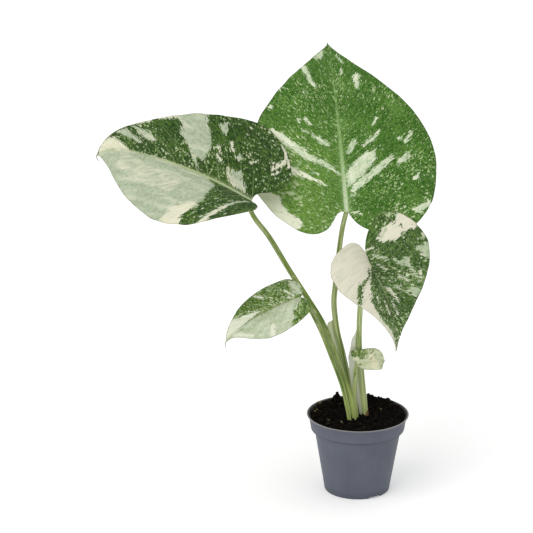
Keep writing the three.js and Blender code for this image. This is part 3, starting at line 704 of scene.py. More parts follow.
# Flat places (x, y) of one half for rows t, from the sinus (0) to the tip (1), and columns w, from the
# midrib (0) to the margin (1). Each row is a vein: a line from its foot on the midrib to the margin,
# pulled towards the sinus edge's own curve while t is below sinusFade.
def flatHalf(leaf, half, t, w):
    full, length = leaf["length"], leaf["length"] - leaf["tail"]
    reach, lobe = half["reach"], half["lobe"]
    lobeX, widestY, notchX = half["lobeAt"] * reach, half["widest"] * length, half["notch"] * reach
    notch = [(notchX, blade["notchRise"] * length), (blade["notchHold"] * notchX, -lobe)]
    sinus = bezier([(0, 0), *notch, (lobeX, -lobe)], w)
    underLobe = (lobeX + blade["lobeHold"] * (reach - lobeX), -lobe)
    flank = [(lobeX, -lobe), underLobe, (reach, 0.5 * (widestY - lobe)), (reach, widestY)]
    front = [
        (reach, widestY), (reach, widestY + half["shoulder"] * (length - widestY)),
        (half["tipWidth"] * reach, length - half["tipLength"] * length), (blade["tailHalfWidth"], length),
    ]
    widestEnd, tailStart = blade["widestEnd"], blade["tailStart"]
    margin = np.where((t <= widestEnd)[:, None], bezier(flank, t / widestEnd),
                      bezier(front, (t - widestEnd) / (tailStart - widestEnd)))
    past = np.clip((t - tailStart) / (1 - tailStart), 0, 1)
    tailX = blade["tailHalfWidth"] + (blade["tipHalfWidth"] - blade["tailHalfWidth"]) * past
    tailY = length + (full - length) * past
    margin = np.where((t > tailStart)[:, None], np.stack([tailX, tailY], -1), margin)
    foot = np.where(t <= tailStart, length * (t / tailStart) ** blade["veinSpread"], tailY)
    pull = np.clip(1 - t / blade["sinusFade"], 0, 1)[:, None]
    x = margin[:, :1] * w + pull * (sinus[:, 0] - lobeX * w)
    y = foot[:, None] * (1 - w) + margin[:, 1:] * w + pull * (sinus[:, 1] + lobe * w)
    return x, y


# The joint's axes: ahead along the midrib by heading and pitch, and the right side and the upper
# face's normal, turned about it by the roll.
def leafAxes(leaf):
    heading, pitch, roll = (math.radians(leaf[key]) for key in ("heading", "pitch", "roll"))
    level = np.array([math.sin(heading), -math.cos(heading), 0])
    ahead = np.array([
        math.cos(pitch) * math.cos(heading), math.cos(pitch) * math.sin(heading), math.sin(pitch),
    ])
    above = np.cross(level, ahead)
    side = level * math.cos(roll) + above * math.sin(roll)
    normal = above * math.cos(roll) - level * math.sin(roll)
    return side, ahead, normal


# Flat places set in space: each half slopes up from the midrib by its fold and curls down by an arc;
# the midrib bends as the slope's running integral, and the whole turns by twist and sweeps aside.
def bendBlade(leaf, half, sign, x, y):
    length = leaf["length"]
    share = y / length
    lobeShare = smoothStep((0.25 - share) / 0.5)
    slope = np.radians(half["fold"] + half["lift"] * lobeShare + half["tipFold"] * np.clip(share, 0, 1))
    turn = math.radians(half["curl"]) / half["reach"]
    out = sign * (np.sin(slope) - np.sin(slope - turn * x)) / turn
    rise = (np.cos(slope - turn * x) - np.cos(slope)) / turn
    stations = np.linspace(-0.6, 1, 1601)
    tip = np.clip((stations - leaf["tipFrom"]) / (1 - leaf["tipFrom"]), 0, 1)
    tailFrom = 1 - leaf["tail"] / length
    tail = np.clip((stations - tailFrom) / (1 - tailFrom), 0, 1)
    forward = leaf["bend"] * stations + leaf["tipBend"] * tip ** 2 + leaf["tailBend"] * tail
    ribSlope = np.radians(np.where(stations < 0, leaf["backBend"] * stations, forward))
    middle = 0.5 * (ribSlope[1:] + ribSlope[:-1])
    step = (stations[1] - stations[0]) * length
    along = np.concatenate([[0], np.cumsum(np.cos(middle) * step)])
    up = np.concatenate([[0], np.cumsum(-np.sin(middle) * step)])
    along = np.interp(share, stations, along - np.interp(0, stations, along))
    up = np.interp(share, stations, up - np.interp(0, stations, up))
    slopeHere = np.interp(share, stations, ribSlope)
    twist = math.radians(leaf["twist"]) * share
    across = out * np.cos(twist) + rise * np.sin(twist) + leaf["sweep"] * length * share * np.abs(share)
    height = rise * np.cos(twist) - out * np.sin(twist)
    side, ahead, normal = leafAxes(leaf)
    forwards, upwards = along + height * np.sin(slopeHere), up + height * np.cos(slopeHere)
    place = np.array(leaf["joint"]) + across[..., None] * side
    return place + forwards[..., None] * ahead + upwards[..., None] * normal


def unit(vectors):
    return vectors / np.maximum(np.linalg.norm(vectors, axis=-1, keepdims=True), 1e-9)


# How the veins run, seen flat, as shares of the leaf's length.
veinRun = {
    "slope": 0.42, "gain": 1.0, "lobeGain": 3.0, "bow": 0.4, "bowGain": 40.0, "bowFrom": 0.2,
    "firstFoot": -0.8, "lastFoot": 1.1, "feet": 220,
}


# A vein leaves the midrib at a foot and bends towards the tip as the parabola
# y = foot + slope x + bow x^2 / length, both steeper for feet nearer the tip. The vein through each
# point lies between the nearest two of many such parabolas. Returns its foot and how far the veins
# spread there, as a multiple of the distance between their feet.
def findVeins(leaf, x, y):
    length = leaf["length"]
    share = np.linspace(veinRun["firstFoot"], veinRun["lastFoot"], veinRun["feet"])
    slope = veinRun["slope"] + np.where(share < 0, veinRun["lobeGain"], veinRun["gain"]) * share
    bow = (veinRun["bow"] + veinRun["bowGain"] * np.maximum(share - veinRun["bowFrom"], 0) ** 2) / length
    out = np.abs(x).reshape(-1, 1)
    height = y.reshape(-1, 1)
    lines = share * length + slope * out + bow * out ** 2
    k = np.clip((lines < height).sum(1, keepdims=True) - 1, 0, len(share) - 2)
    low, high = np.take_along_axis(lines, k, 1), np.take_along_axis(lines, k + 1, 1)
    step = share[1] - share[0]
    foot = length * (share[k] + step * np.clip((height - low) / (high - low), 0, 1))
    spread = (high - low) / (step * length) / np.hypot(1, slope[k] + 2 * bow[k] * out)
    return foot.reshape(x.shape), spread.reshape(x.shape)


# Two fields over a blade, in millimetres: how far inside the pale or cream parts a place lies (below
# zero it is green) and how far on the cream side of them. A light mark is only half cream.
def paintMarks(leaf, x, y):
    far = blade["farField"]
    starts = {"green": (-far, -far), "pale": (far, -far), "cream": (far, far)}
    right, left = (starts[ground] for ground in leaf["look"]["ground"])
    varied, creamy = np.where(x >= 0, right[0], left[0]), np.where(x >= 0, right[1], left[1])
    # Where the two halves start differently, the fields fall to nothing at the midrib.
    if right != left:
        varied = np.sign(varied) * np.minimum(np.abs(varied), np.abs(x) + 0.4)
    for colour, mark in leaf["marks"]:
        field = markField(x, y, mark)
        varied = np.minimum(varied, -field) if colour == "green" else np.maximum(varied, field)
        if colour == "pale":
            creamy = np.minimum(creamy, -field)
        elif colour == "cream":
            creamy = np.maximum(creamy, field)
        elif colour == "light":
            creamy = np.maximum(creamy, np.minimum(field, blade["lightMark"]))
    return np.clip(varied, -far, far), np.clip(creamy, -far, far)


# The halves' grids are joined at the midrib and thickened along the surface's normals, by half the
# body each way with the relief above and a keel below. A ring of rim points rounds the edge off.
def makeBlade(name, leaf, material):
    tailStart = blade["tailStart"]
    t = np.linspace(0, tailStart, leaf["rows"])
    t = np.concatenate([t, np.linspace(tailStart, 1, blade["tailRows"])[1:]])
    columns = leaf["columns"]
    w = np.linspace(0, 1, columns + 1) ** blade["columnPower"]
    pitch = leaf["length"] / leaf["veins"]
    halves = []
    for half, sign in ((leaf["left"], -1), (leaf["right"], 1)):
        x, y = flatHalf(leaf, half, t, w)
        run = np.hypot(np.diff(x, axis=1), np.diff(y, axis=1))
        run = np.concatenate([np.zeros((len(t), 1)), np.cumsum(run, axis=1)], axis=1)
        foot, spread = findVeins(leaf, x, y)
        foot = foot + (0.5 * pitch if sign > 0 else 0)
        # A thin margin wanders in and out a little, as a living one does.
        share = np.clip(y / leaf["length"], 0, 1)
        wavePlace = np.stack([y / blade["wanderRun"], x / blade["wanderRun"]], -1)
        wander = blade["wander"] * layeredNoise(wavePlace, 2, leaf["look"]["seed"] + 40 + sign)
        wander = wander * smoothStep(w) * smoothStep((leaf["length"] - y) / blade["wanderEnd"])
        x = x + wander * (1 - 0.5 * share)
        place = bendBlade(leaf, half, sign, x, y)
        halves.append([sign * x, y, place, foot, spread, run[:, -1:] - run])
    joined = [np.concatenate([left[:, :0:-1], right], axis=1) for left, right in zip(*halves)]
    x, y, place, foot, spread, fromMargin = joined
    phase = foot / pitch
    fromMargin = np.minimum(fromMargin, 40)
    rows, wide = x.shape

    normal = unit(np.cross(np.gradient(place, axis=1), np.gradient(place, axis=0)))
    lean = (1 - smoothStep(np.abs(x) / blade["creaseWidth"]))[..., None]
    normal = unit(normal * (1 - lean) + normal[:, columns:columns + 1] * lean)

    # Relief: quilted between the veins, a channel along the midrib, a slow wave towards the margin.
    share = np.clip(y / leaf["length"], 0, 1)
    ribWidth = leaf["ribWidth"] * (1 - blade["ribTaper"] * share) * smoothStep((y + 6) / 8)
    offRib = np.abs(x) / np.maximum(ribWidth, 0.05)
    quilt = np.abs(np.cos(math.pi * phase)) ** blade["quiltPower"]
    calm = smoothStep(np.abs(x) / blade["calmWidth"]) * smoothStep(fromMargin / blade["calmWidth"])
    wave = layeredNoise(np.stack([x, y], -1) / blade["waveRun"], 2, leaf["look"]["seed"])
    ripple = layeredNoise(np.stack([x, y], -1) / blade["rippleRun"], 2, leaf["look"]["seed"] + 7)
    wave = blade["wave"] * leaf["pucker"] * wave * smoothStep(np.abs(x) / 10)
    lifted = leaf["pucker"] * (quilt * calm - 0.5) + wave
    lifted = lifted + blade["ripple"] * leaf["pucker"] * ripple
    lifted = lifted * smoothStep(np.abs(x) / 4) * smoothStep((leaf["length"] - y) / 12)
    channel = blade["channel"] * np.exp(-(offRib / blade["channelWidth"]) ** 2) * (1 - 0.6 * share)
    keel = leaf["keel"] * smoothStep(share / 0.12) * (1 - 0.8 * share)
    keel = keel * np.exp(-(offRib / blade["keelWidth"]) ** 2)
    thin, thick = blade["rimThickness"], blade["thickness"]
    body = thin + (thick - thin) * smoothStep(fromMargin / blade["rimWidth"])
    upper = place + normal * (lifted + body / 2 - channel)[..., None]
    lower = place + normal * (lifted - body / 2 - keel)[..., None]

    # The rim goes round the grid: sinus edge, right margin, tip, left margin.
    index = np.arange(rows * wide).reshape(rows, wide)
    loop = np.concatenate([index[0], index[1:, -1], index[-1, -2::-1], index[-2:0:-1, 0]])
    outward = np.zeros_like(place)
    outward[0] += unit(place[0] - place[1])
    outward[-1] += unit(place[-1] - place[-2])
    outward[:, -1] += unit(place[:, -1] - place[:, -2])
    outward[:, 0] += unit(place[:, 0] - place[:, 1])
    middle = 0.5 * (upper + lower).reshape(-1, 3)[loop]
    rim = middle + unit(outward.reshape(-1, 3)[loop]) * 0.5 * body.reshape(-1, 1)[loop]

    count = rows * wide
    top = gridFaces(rows, wide)
    under = top[:, ::-1] + count
    after = np.roll(loop, -1)
    rimHere = 2 * count + np.arange(len(loop))
    rimAfter = np.roll(rimHere, -1)
    walls = np.concatenate([
        np.stack([after, loop, rimHere, rimAfter], -1),
        np.stack([rimAfter, rimHere, loop + count, after + count], -1),
    ])
    points = np.concatenate([upper.reshape(-1, 3), lower.reshape(-1, 3), rim])

    # Attributes for the material; edges holds 1 in its last number on the underside and 0.4 on the rim.
    varied, creamy = paintMarks(leaf, x, y)
    density = 0.5 + 0.5 * layeredNoise(np.stack([x, y], -1) / 30, 2, leaf["look"]["seed"] + 3)

    def everywhere(*fields):
        flat = np.stack([np.asarray(field, float).ravel() for field in fields], -1)
        return np.concatenate([flat, flat, flat[loop]])

    attributes = {
        "leafPlace": everywhere(x, y, np.full(x.shape, leaf["look"]["seed"] * 10.0)),
        "veinPlace": everywhere(foot, np.abs(x) + 0.6 * y, spread * pitch),
        "marks": everywhere(varied, creamy, density),
        "edges": everywhere(offRib, fromMargin, np.zeros(x.shape)),
    }
    attributes["edges"][count:2 * count, 2] = 1
    attributes["edges"][2 * count:, 2] = 0.4
    addPiece(name.replace("_leaf", "_dressed_blade"), points, [top, under, walls], material,
             attributes, [name + "_blade"])
    print("monstera:", name, "blade", len(points), "points")


# What all blades' materials share: the depth of the bump is in metres, and the sizes of the noise are
# in millimetres, across the veins and along them or the same both ways.
bladeLook = {
    "specular": 0.15, "roughness": 0.44, "relief": 0.0003,
    "dryEdge": (92, 88, 60), "dryShare": 0.5, "underside": (150, 168, 122), "underShare": 0.45,
    "teeth": (1.5, 9), "slivers": (1.2, 13), "creamEdge": (4, 16), "mottle": (2.4, 6), "streak": (1.6, 20),
    "wobble": 1.6, "crumbs": 1.4, "patch": 30, "grain": 1.0, "blotch": 4,
    "teethDepth": 12, "sliverDepth": 5, "crumbDepth": 5, "creamEdgeDepth": 6,
}


# The blade's colours: green mottled along the veins and dotted with cream, broken by pale and cream
# parts with ragged edges; the underside is paler, and the rib and main veins are lighter lines.
def bladeMaterial(name, leaf):
    look = leaf["look"]
    paints = {key: paint(*value) for key, value in leaf["paints"].items()}
    material, shade, surface = newMaterial(name, {"Specular IOR Level": bladeLook["specular"]})
    x, y, seed = shade.attribute("leafPlace").parts()
    foot, along, spacing = shade.attribute("veinPlace").parts()
    varied, creamy, density = shade.attribute("marks").parts()
    offRib, fromMargin, under = shade.attribute("edges").parts()
    side = x.step(-0.01, 0.01) * 300
    share = y / leaf["length"]

    def veinNoise(width, run, detail=2.0, shift=0.0):
        return shade.noise(shade.vector(foot / width + side, along / run, seed + shift), 1.0, detail)

    def flatNoise(size, detail=2.0, shift=0.0):
        return shade.noise(shade.vector(x / size, y / size, seed + shift), 1.0, detail)

    wobble = (flatNoise(bladeLook["wobble"], 2.0, 14) - 0.5) * 0.7
    # The left lobe is painted lighter and yellower, as painted light shining through it, and it has more
    # flecks.
    lobeLightAndFlecks = x.step(30, -60) * share.step(0.7, 0.1) * look["lobeLightAndFleckShare"]

    # Dots: each Voronoi cell has a random radius and tone, and most cells have none.
    def dots(size, run, least, radius, shift):
        size = size * look["fleckSize"]
        acrossPlace, alongPlace = (foot / size + side, along / run) if run else (x / size, y / size)
        cell = shade.cells(shade.vector(acrossPlace + wobble, alongPlace + wobble, seed + shift))
        luck, tone, _ = cell.other("Color").parts()
        reach = (luck - least + (lobeLightAndFlecks * 0.13 if run else 0)) * radius
        return (reach * (0.55 + density * 0.9 + lobeLightAndFlecks * 0.4) - cell).step(-0.04, 0.1), tone

    # Teeth along the veins and crumbs; inside a wide part the teeth reach deeper, as thin green slivers.
    teeth = (veinNoise(*bladeLook["teeth"], 3.0) - 0.5) * bladeLook["teethDepth"]
    slivers = (veinNoise(*bladeLook["slivers"], 2.0, 17) - 0.5).step(0.13, 0.2)
    slivers = slivers * bladeLook["sliverDepth"] * varied.step(6, 2)
    ragged = teeth + (flatNoise(bladeLook["crumbs"], 2.0, 3) - 0.5) * bladeLook["crumbDepth"] - slivers
    variedMask = (varied + ragged).step(-0.2, 0.2)
    soft = look["soft"]
    creamEdge = (veinNoise(*bladeLook["creamEdge"], 3.0, 4) - 0.5) * bladeLook["creamEdgeDepth"] * soft
    creamMask = (creamy + creamEdge).step(-1.6 * soft, 1.4 * soft)

    mottle = veinNoise(*bladeLook["mottle"], 3.0, 5)
    patch = flatNoise(bladeLook["patch"], 2.0, 8)
    grain = flatNoise(bladeLook["grain"], 2.0, 12)
    green = shade.colour(paints["dark"], paints["green"], (mottle * 0.55 + grain * 0.45).step(0.38, 0.56))
    lit = (patch * 0.35 + mottle * 0.35 + grain * 0.3).step(0.47, 0.62)
    green = green.covered(paints["light"], lit * 0.9)
    # Painted light on the left lobe: a lighter, yellower green.
    green = green.covered(paints["yellowGreen"], lobeLightAndFlecks * (mottle * 0.6 + grain * 0.4).step(0.2, 0.62) * 0.75)

    for size, run, least, less, growth, strength, shift in blade["flecks"]:
        mask, tone = dots(size, run, least - less * look["dots"], growth, shift)
        fleck = shade.colour(paints["yellowGreen"], paints["fleck"], tone.step(0.0, 0.7))
        green = green.covered(fleck, mask * strength)

    # The pale parts: blotches that lie along the leaf, a grain, and fine light specks.
    streak = veinNoise(*bladeLook["streak"], 4.0, 41)
    cloud = shade.noise(shade.vector(x / 8, y / 30, seed + 44), 1.0, 4.0)
    blotch = flatNoise(bladeLook["blotch"], 3.0, 47)
    tone = blotch * 0.4 + cloud * 0.3 + grain * 0.2 + streak * 0.1
    pale = shade.colour(paints["grey"], paints["pale"], tone.step(0.38, 0.56))
    pale = pale.covered(paints["cream"], (cloud * 0.8 + streak * 0.2).step(0.48, 0.66) * 0.42)
    pale = pale.covered(paints["cream"], dots(1.9, None, 0.45, 0.85, 51)[0] * 0.35)
    veiled = (streak * 0.6 + grain * 0.4).step(0.46, 0.68)
    cream = shade.colour(paints["cream"], paints["pale"], veiled * 0.55)
    variegated = shade.colour(pale, cream, creamMask)
    freckles = dots(2.4, 6, 0.86 - 0.34 * look["freckles"], 1.5, 55)[0] * creamy.step(12, 4)
    variegated = variegated.covered(green, freckles * 0.75)
    colour = shade.colour(green, variegated, variedMask)

    # Main veins, where the foot passes half a pitch, and a net of small ones between them.
    phase = foot / (leaf["length"] / leaf["veins"])
    vein = ((phase.fraction() - 0.5).size() * spacing).step(0.9, 0.1)
    netPlace = shade.vector(foot / 3.2 + side, along / 5.0, seed + 61)
    net = shade.cells(netPlace, "DISTANCE_TO_EDGE").step(0.09, 0.0)
    nearRib = x.size().step(46, 4) * share.step(0.85, 0.3)
    colour = colour.covered(paints["rib"], vein * (0.1 + nearRib * 0.22) + net * 0.05)
    besideRib = offRib.step(3.6, 1.0) * share.step(0.6, 0.1)
    colour = colour.covered(paints["rib"], besideRib * (0.1 + streak * 0.4))
    ribLine = (offRib + (streak - 0.5) * 1.2).step(1.3, 0.5) * share.step(look["ribEnd"], 0.0)
    rib = shade.colour(paints["rib"], paints["pale"], share.step(0.4, 0.05) * streak.step(0.3, 0.58))
    colour = colour.covered(rib, ribLine)
    # A thin dry line along the margin, and the paler underside.
    dryEdge, underside = paint(*bladeLook["dryEdge"]), paint(*bladeLook["underside"])
    colour = colour.covered(dryEdge, fromMargin.step(0.75, 0.25) * bladeLook["dryShare"])
    colour = colour.covered(underside, under * bladeLook["underShare"])

    roughness = bladeLook["roughness"] + grain * 0.12 + under * 0.15 + variedMask * 0.03
    height = 0 - vein * 0.5 - net * 0.16 + grain * 0.12 + streak * 0.12
    finishMaterial(shade, surface, colour, roughness, height, bladeLook["relief"])
    return material


for leafName, leafSettings in leaves.items():
    makeBlade(leafName, leafSettings, bladeMaterial(leafName.replace("_leaf", "_blade"), leafSettings))


# Petioles

# Lengths in millimetres; the foot's height lies below the surface of the soil.
petioleFinish = {
    "rings": 260, "around": 44, "finSteps": 12, "capRings": 8,
    "footHeight": 76, "underBlade": 0.75, "joinDepth": 0.55,
    # Half the sheath's opening, half the fin's edge, and the stem's size under its ridges.
    "halfOpening": 0.62, "halfEdge": 0.2, "inset": 0.985, "roughness": 0.012,
    # Each ridge: how many round the stem, how high as a share of the radius, drift and start.
    "ridges": [(11, 0.018, 0.02, 0), (23, 0.012, 0, 1.7)],
}


# Uniform Catmull-Rom curve through the points, with its ends carried on, at shares u of the points.
def curveThrough(points, u):
    points = np.array(points, float)
    points = np.vstack([2 * points[0] - points[1], points, 2 * points[-1] - points[-2]])
    spans = len(points) - 3
    at = u * spans
    k = np.minimum(at.astype(int), spans - 1)
    s = (at - k)[:, None]
    a, b, c, d = (points[k + i] for i in range(4))
    bent = (2 * a - 5 * b + 4 * c - d) * s ** 2
    return 0.5 * (2 * b + (c - a) * s + bent + (3 * b - a - 3 * c + d) * s ** 3)


# Rings across the centre line. Each ring is a circle with fine ridges, opened on one side into the
# sheath's fin, which thins from the stem to its edge; where the fin has no width it lies flat.
def makePetiole(name, leaf, material):
    stem = leaf["petiole"]
    side, ahead, normal = leafAxes(leaf)
    endRadius = stem["radii"][-1]
    end = np.array(leaf["joint"]) - normal * (endRadius + petioleFinish["underBlade"])
    places = [(*stem["points"][0][:2], petioleFinish["footHeight"]), *stem["points"], end]
    u = np.linspace(0, 1, petioleFinish["rings"])
    centre = curveThrough(places, u)
    tangent = unit(np.gradient(centre, axis=0))
    toward = unit(np.array(stem["toward"], float))
    across = unit(toward - tangent * (tangent @ toward)[:, None])
    other = np.cross(tangent, across)
    length = np.concatenate([[0], np.cumsum(np.linalg.norm(np.diff(centre, axis=0), axis=1))])
    radius = np.interp(u, np.linspace(0, 1, len(stem["radii"])), stem["radii"])
    wing = stem["wing"]
    fin = np.interp(centre[:, 2], *np.array(wing).T, left=0, right=0) if wing else np.zeros(len(u))
    # A ragged sheath edge that keeps inside the given width.
    fin = fin * (0.93 + 0.06 * np.sin(length * 0.21 + 1) * np.sin(length * 0.093))

    steps = np.linspace(0, 1, petioleFinish["finSteps"])
    half, inset = petioleFinish["halfOpening"], petioleFinish["inset"]
    opening = np.arcsin(half / radius)[:, None]
    angle = opening + (2 * math.pi - 2 * opening) * np.linspace(0, 1, petioleFinish["around"])[None]
    ridge = 1
    for count, high, drift, start in petioleFinish["ridges"]:
        ridge = ridge + high * np.sin(count * angle + drift * length[:, None] + start)
    rough = np.stack([angle * 2.2, np.broadcast_to(length[:, None] / 9, angle.shape)], -1)
    ridge = (ridge + petioleFinish["roughness"] * layeredNoise(rough, 2, 3)) * inset
    roundX, roundY = radius[:, None] * ridge * np.cos(angle), radius[:, None] * ridge * np.sin(angle)
    # The fin thins from its root to a rounded edge, and bows to one side as it goes out.
    base = radius[:, None] * np.cos(opening) * inset
    tipX = radius[:, None] * inset + fin[:, None]
    finX = base + (tipX - base) * steps[None]
    inward = 1 - steps[None]
    edge = petioleFinish["halfEdge"] * np.sqrt(np.clip(1 - steps[None] ** 6, 0, 1))
    finHalf = half * inward ** 0.8 * 0.62 + edge + half * 0.18 * inward
    bow = (0.5 * np.sin(length * 0.11) + 0.16 * np.maximum(fin - 6, 0))[:, None] * steps[None] ** 2
    bow = bow * smoothStep(fin / 6)[:, None]
    ringX = np.concatenate([roundX, finX[:, 1:], finX[:, -2:0:-1]], axis=1)
    lower, upper = bow - finHalf, bow + finHalf
    ringY = np.concatenate([roundY, lower[:, 1:], upper[:, -2:0:-1]], axis=1)
    points = centre[:, None] + ringX[..., None] * across[:, None] + ringY[..., None] * other[:, None]

    # The round end that meets the blade, sunk a little into it, and the cut end in the soil.
    turn = np.linspace(0, math.pi / 2, petioleFinish["capRings"] + 1)[1:-1, None, None]
    flat = points[-1] - centre[-1]
    reach = endRadius + petioleFinish["joinDepth"]
    points = np.concatenate([points, centre[-1] + flat * np.cos(turn) + tangent[-1] * reach * np.sin(turn)])
    rings, around = points.shape[:2]
    allPoints, faces = tubeBody(points, centre[0], centre[-1] + tangent[-1] * reach)

    # Attributes: the way round the stem, the way along it and the share of the way out on the fin.
    girth = angle * radius[:, None]
    girth = np.concatenate([girth, np.repeat(girth[:, -1:], around - girth.shape[1], axis=1)], axis=1)
    outAndBack = np.concatenate([np.zeros(angle.shape[1]), steps[1:], steps[-2:0:-1]])
    finShare = outAndBack[None] * smoothStep(fin / 1.5)[:, None]
    run = np.broadcast_to(length[:, None], girth.shape)

    def carried(field):
        field = np.concatenate([field, np.repeat(field[-1:], rings - len(field), axis=0)])
        return np.concatenate([field.ravel(), field[0, :1], field[-1, :1]])

    attributes = {"stemPlace": np.stack([carried(girth), carried(run), carried(finShare)], -1)}
    addPiece(name.replace("_leaf", "_dressed_petiole"), allPoints, faces, material,
             attributes, [name + "_petiole"])
    print("monstera:", name, "petiole", len(allPoints), "points")


# What all petioles' materials share: the noise's sizes are in millimetres, round the stem and along it,
# and the bright foot and the painted shade in the grooves between sheaths fade out from the first to the
# second length along the stem.
# The fin turns from green to pale over paperyFade.
stemLook = {
    "firstSeed": 70.0, "nextSeed": 9,
    "specular": 0.25, "roughness": 0.38, "relief": 0.00025, "grooveShade": (46, 80, 12),
    "lines": (0.55, 26), "litAndShadedBands": (3.4, 60), "fine": (0.5, 1.4), "stripes": (1.3, 110),
    "footFade": (25, 80), "grooveShadeFade": (80, 150), "paperyFade": 25,
}


# Green stem with fine lengthwise lines, broad bands of painted highlight and shade along it, cream dashes
# and painted shade in the grooves between its sheaths, brighter at its foot. The fin is green, and pale
# and papery from paleFrom millimetres along the stem.
def petioleMaterial(name, colours, paleFrom, seed):
    material, shade, surface = newMaterial(name, {"Specular IOR Level": stemLook["specular"]})
    paints = {key: paint(*value) for key, value in colours.items()}
    around, along, fin = shade.attribute("stemPlace").parts()

    def stemNoise(kind, detail, shift):
        width, run = stemLook[kind]
        return shade.noise(shade.vector(around / width, along / run, seed + shift), 1.0, detail)

    lines, litAndShadedBands, fine = stemNoise("lines", 3.0, 0), stemNoise("litAndShadedBands", 2.0, 4), stemNoise("fine", 2.0, 8)
    # The broad bands round the stem are painted highlight and shade: lighter and darker strips along it.
    colour = shade.colour(paints["dark"], paints["green"], (lines * 0.5 + litAndShadedBands * 0.5).step(0.38, 0.52))
    colour = colour.covered(paints["light"], (litAndShadedBands * 0.6 + lines * 0.4).step(0.49, 0.62) * 0.95)
    flecks = shade.cells(shade.vector(around / 1.6, along / 11, seed + 12))
    streaks = ((flecks.other("Color").parts()[0] - 0.72) * 1.5 - flecks).step(-0.03, 0.08)
    colour = colour.covered(paints["cream"], streaks * 0.6)
    foot = 1 - along.step(*stemLook["footFade"])
    colour = colour.covered(paints["foot"], foot * (0.45 + litAndShadedBands * 0.8).least(1.0))
    # Pale stripes all the way up, and painted shade in the grooves between the sheaths, strongest near the
    # foot.
    stripes = stemNoise("stripes", 1.0, 16)
    colour = colour.covered(paints["cream"], stripes.step(0.56, 0.68) * 0.5)
    low = 1 - along.step(*stemLook["grooveShadeFade"])
    grooveShade = (lines.step(0.38, 0.28) * 0.4).most(stripes.step(0.45, 0.37)) * (0.3 + low * 0.7)
    colour = colour.covered(paint(*stemLook["grooveShade"]), grooveShade * (0.85 - foot * 0.6))
    papery = along.step(paleFrom - stemLook["paperyFade"], paleFrom)
    finColour = shade.colour(paints["green"], paints["fin"], papery)
    colour = colour.covered(finColour, fin.step(0.02, 0.3) * (0.7 + litAndShadedBands * 0.5).least(1.0))
    finVein = shade.noise(shade.vector(fin * 9, along / 30, seed + 20), 1.0, 2.0).step(0.55, 0.7)
    colour = colour.covered(paints["green"], finVein * fin.step(0.1, 0.3) * 0.3)
    roughness = stemLook["roughness"] + fine * 0.16 + fin * 0.1
    height = lines * 0.7 + fine * 0.25
    finishMaterial(shade, surface, colour, roughness, height, stemLook["relief"])
    return material


stemColours = {
    "upright_leaf": {
        "dark": (92, 112, 42), "green": (136, 152, 86), "light": (178, 188, 132), "cream": (206, 210, 172),
        "foot": (198, 214, 138), "fin": (198, 204, 168),
    },
    "large_left_leaf": {
        "dark": (88, 110, 36), "green": (126, 146, 72), "light": (162, 176, 112), "cream": (200, 206, 158),
        "foot": (194, 212, 126), "fin": (150, 168, 98),
    },
    "right_leaf": {
        "dark": (120, 140, 72), "green": (156, 172, 108), "light": (188, 198, 152), "cream": (214, 218, 184),
        "foot": (204, 218, 146), "fin": (218, 220, 204),
    },
    "small_left_leaf": {
        "dark": (86, 108, 40), "green": (122, 142, 72), "light": (158, 172, 108), "cream": (196, 202, 156),
        "foot": (190, 208, 122), "fin": (192, 200, 158),
    },
    "curled_leaf": {
        "dark": (114, 136, 64), "green": (150, 168, 102), "light": (186, 196, 146), "cream": (212, 216, 178),
        "foot": (200, 216, 138), "fin": (204, 210, 170),
    },
}

for number, (leafName, leafSettings) in enumerate(leaves.items()):
    stemName, paleFrom = leafName.replace("_leaf", "_petiole"), leafSettings["petiole"]["paleFrom"]
    stemSeed = stemLook["firstSeed"] + stemLook["nextSeed"] * number
    stemMaterial = petioleMaterial(stemName, stemColours[leafName], paleFrom, stemSeed)
    makePetiole(leafName, leafSettings, stemMaterial)


# Pot

pot = {
    "height": 94.0, "wall": 1.7, "floor": 2.0, "recess": 2.0, "sides": 176,
    "lipRadius": 60.0, "lipDepth": 3.0, "lipWidth": 1.4, "lipFlare": 0.6,
    "collarTopRadius": 57.3, "collarFootRadius": 55.2, "collarDepth": 18.5,
    # The collar steps in from this far above its foot to this far below it, inside the pot.
    "stepAbove": 2.4, "stepBelow": 1,
    "bodyTopRadius": 50.9, "footRadius": 39.0, "footHeight": 12.0, "footFlare": 1.3,
    "padRadius": 13.0, "ringRadius": 34.6,
    "drainHoles": 6, "drainRadius": 3.2, "drainCircle": 24.0, "drainSides": 32,
    "notchWidth": 16.0, "notchHeight": 2.0, "notchDepth": 10, "notchTurn": 32.0,
    "sharpAngle": 34,
}
collarFoot = pot["height"] - pot["collarDepth"]
lipFoot = pot["height"] - pot["lipDepth"]
stepFoot, stepTop = collarFoot - pot["stepBelow"], collarFoot + pot["stepAbove"]


# Inside radius of the pot at a height above its floor.
def insideRadius(z):
    heights = [pot["recess"], pot["footHeight"], stepFoot, stepTop, pot["height"] + 1]
    radii = [
        pot["footRadius"], pot["footRadius"] + pot["footFlare"], pot["bodyTopRadius"],
        pot["collarFootRadius"], pot["collarTopRadius"] + pot["lipFlare"],
    ]
    return np.interp(z, heights, radii) - pot["wall"]


# The corners of a profile (radius, height, rounding) with arcs of four steps in their place.
def roundedProfile(corners, steps=4):
    places = np.array([c[:2] for c in corners], float)
    profile = [places[0]]
    for before, here, after, (_, _, rounding) in zip(places, places[1:], places[2:], corners[1:]):
        back, on = before - here, after - here
        reach = min(rounding, 0.45 * np.linalg.norm(back), 0.45 * np.linalg.norm(on))
        if reach <= 0:
            profile.append(here)
            continue
        start, stop = here + unit(back) * reach, here + unit(on) * reach
        for u in np.linspace(0, 1, steps + 1):
            profile.append((1 - u) ** 2 * start + 2 * u * (1 - u) * here + u ** 2 * stop)
    profile.append(places[-1])
    return np.array(profile)


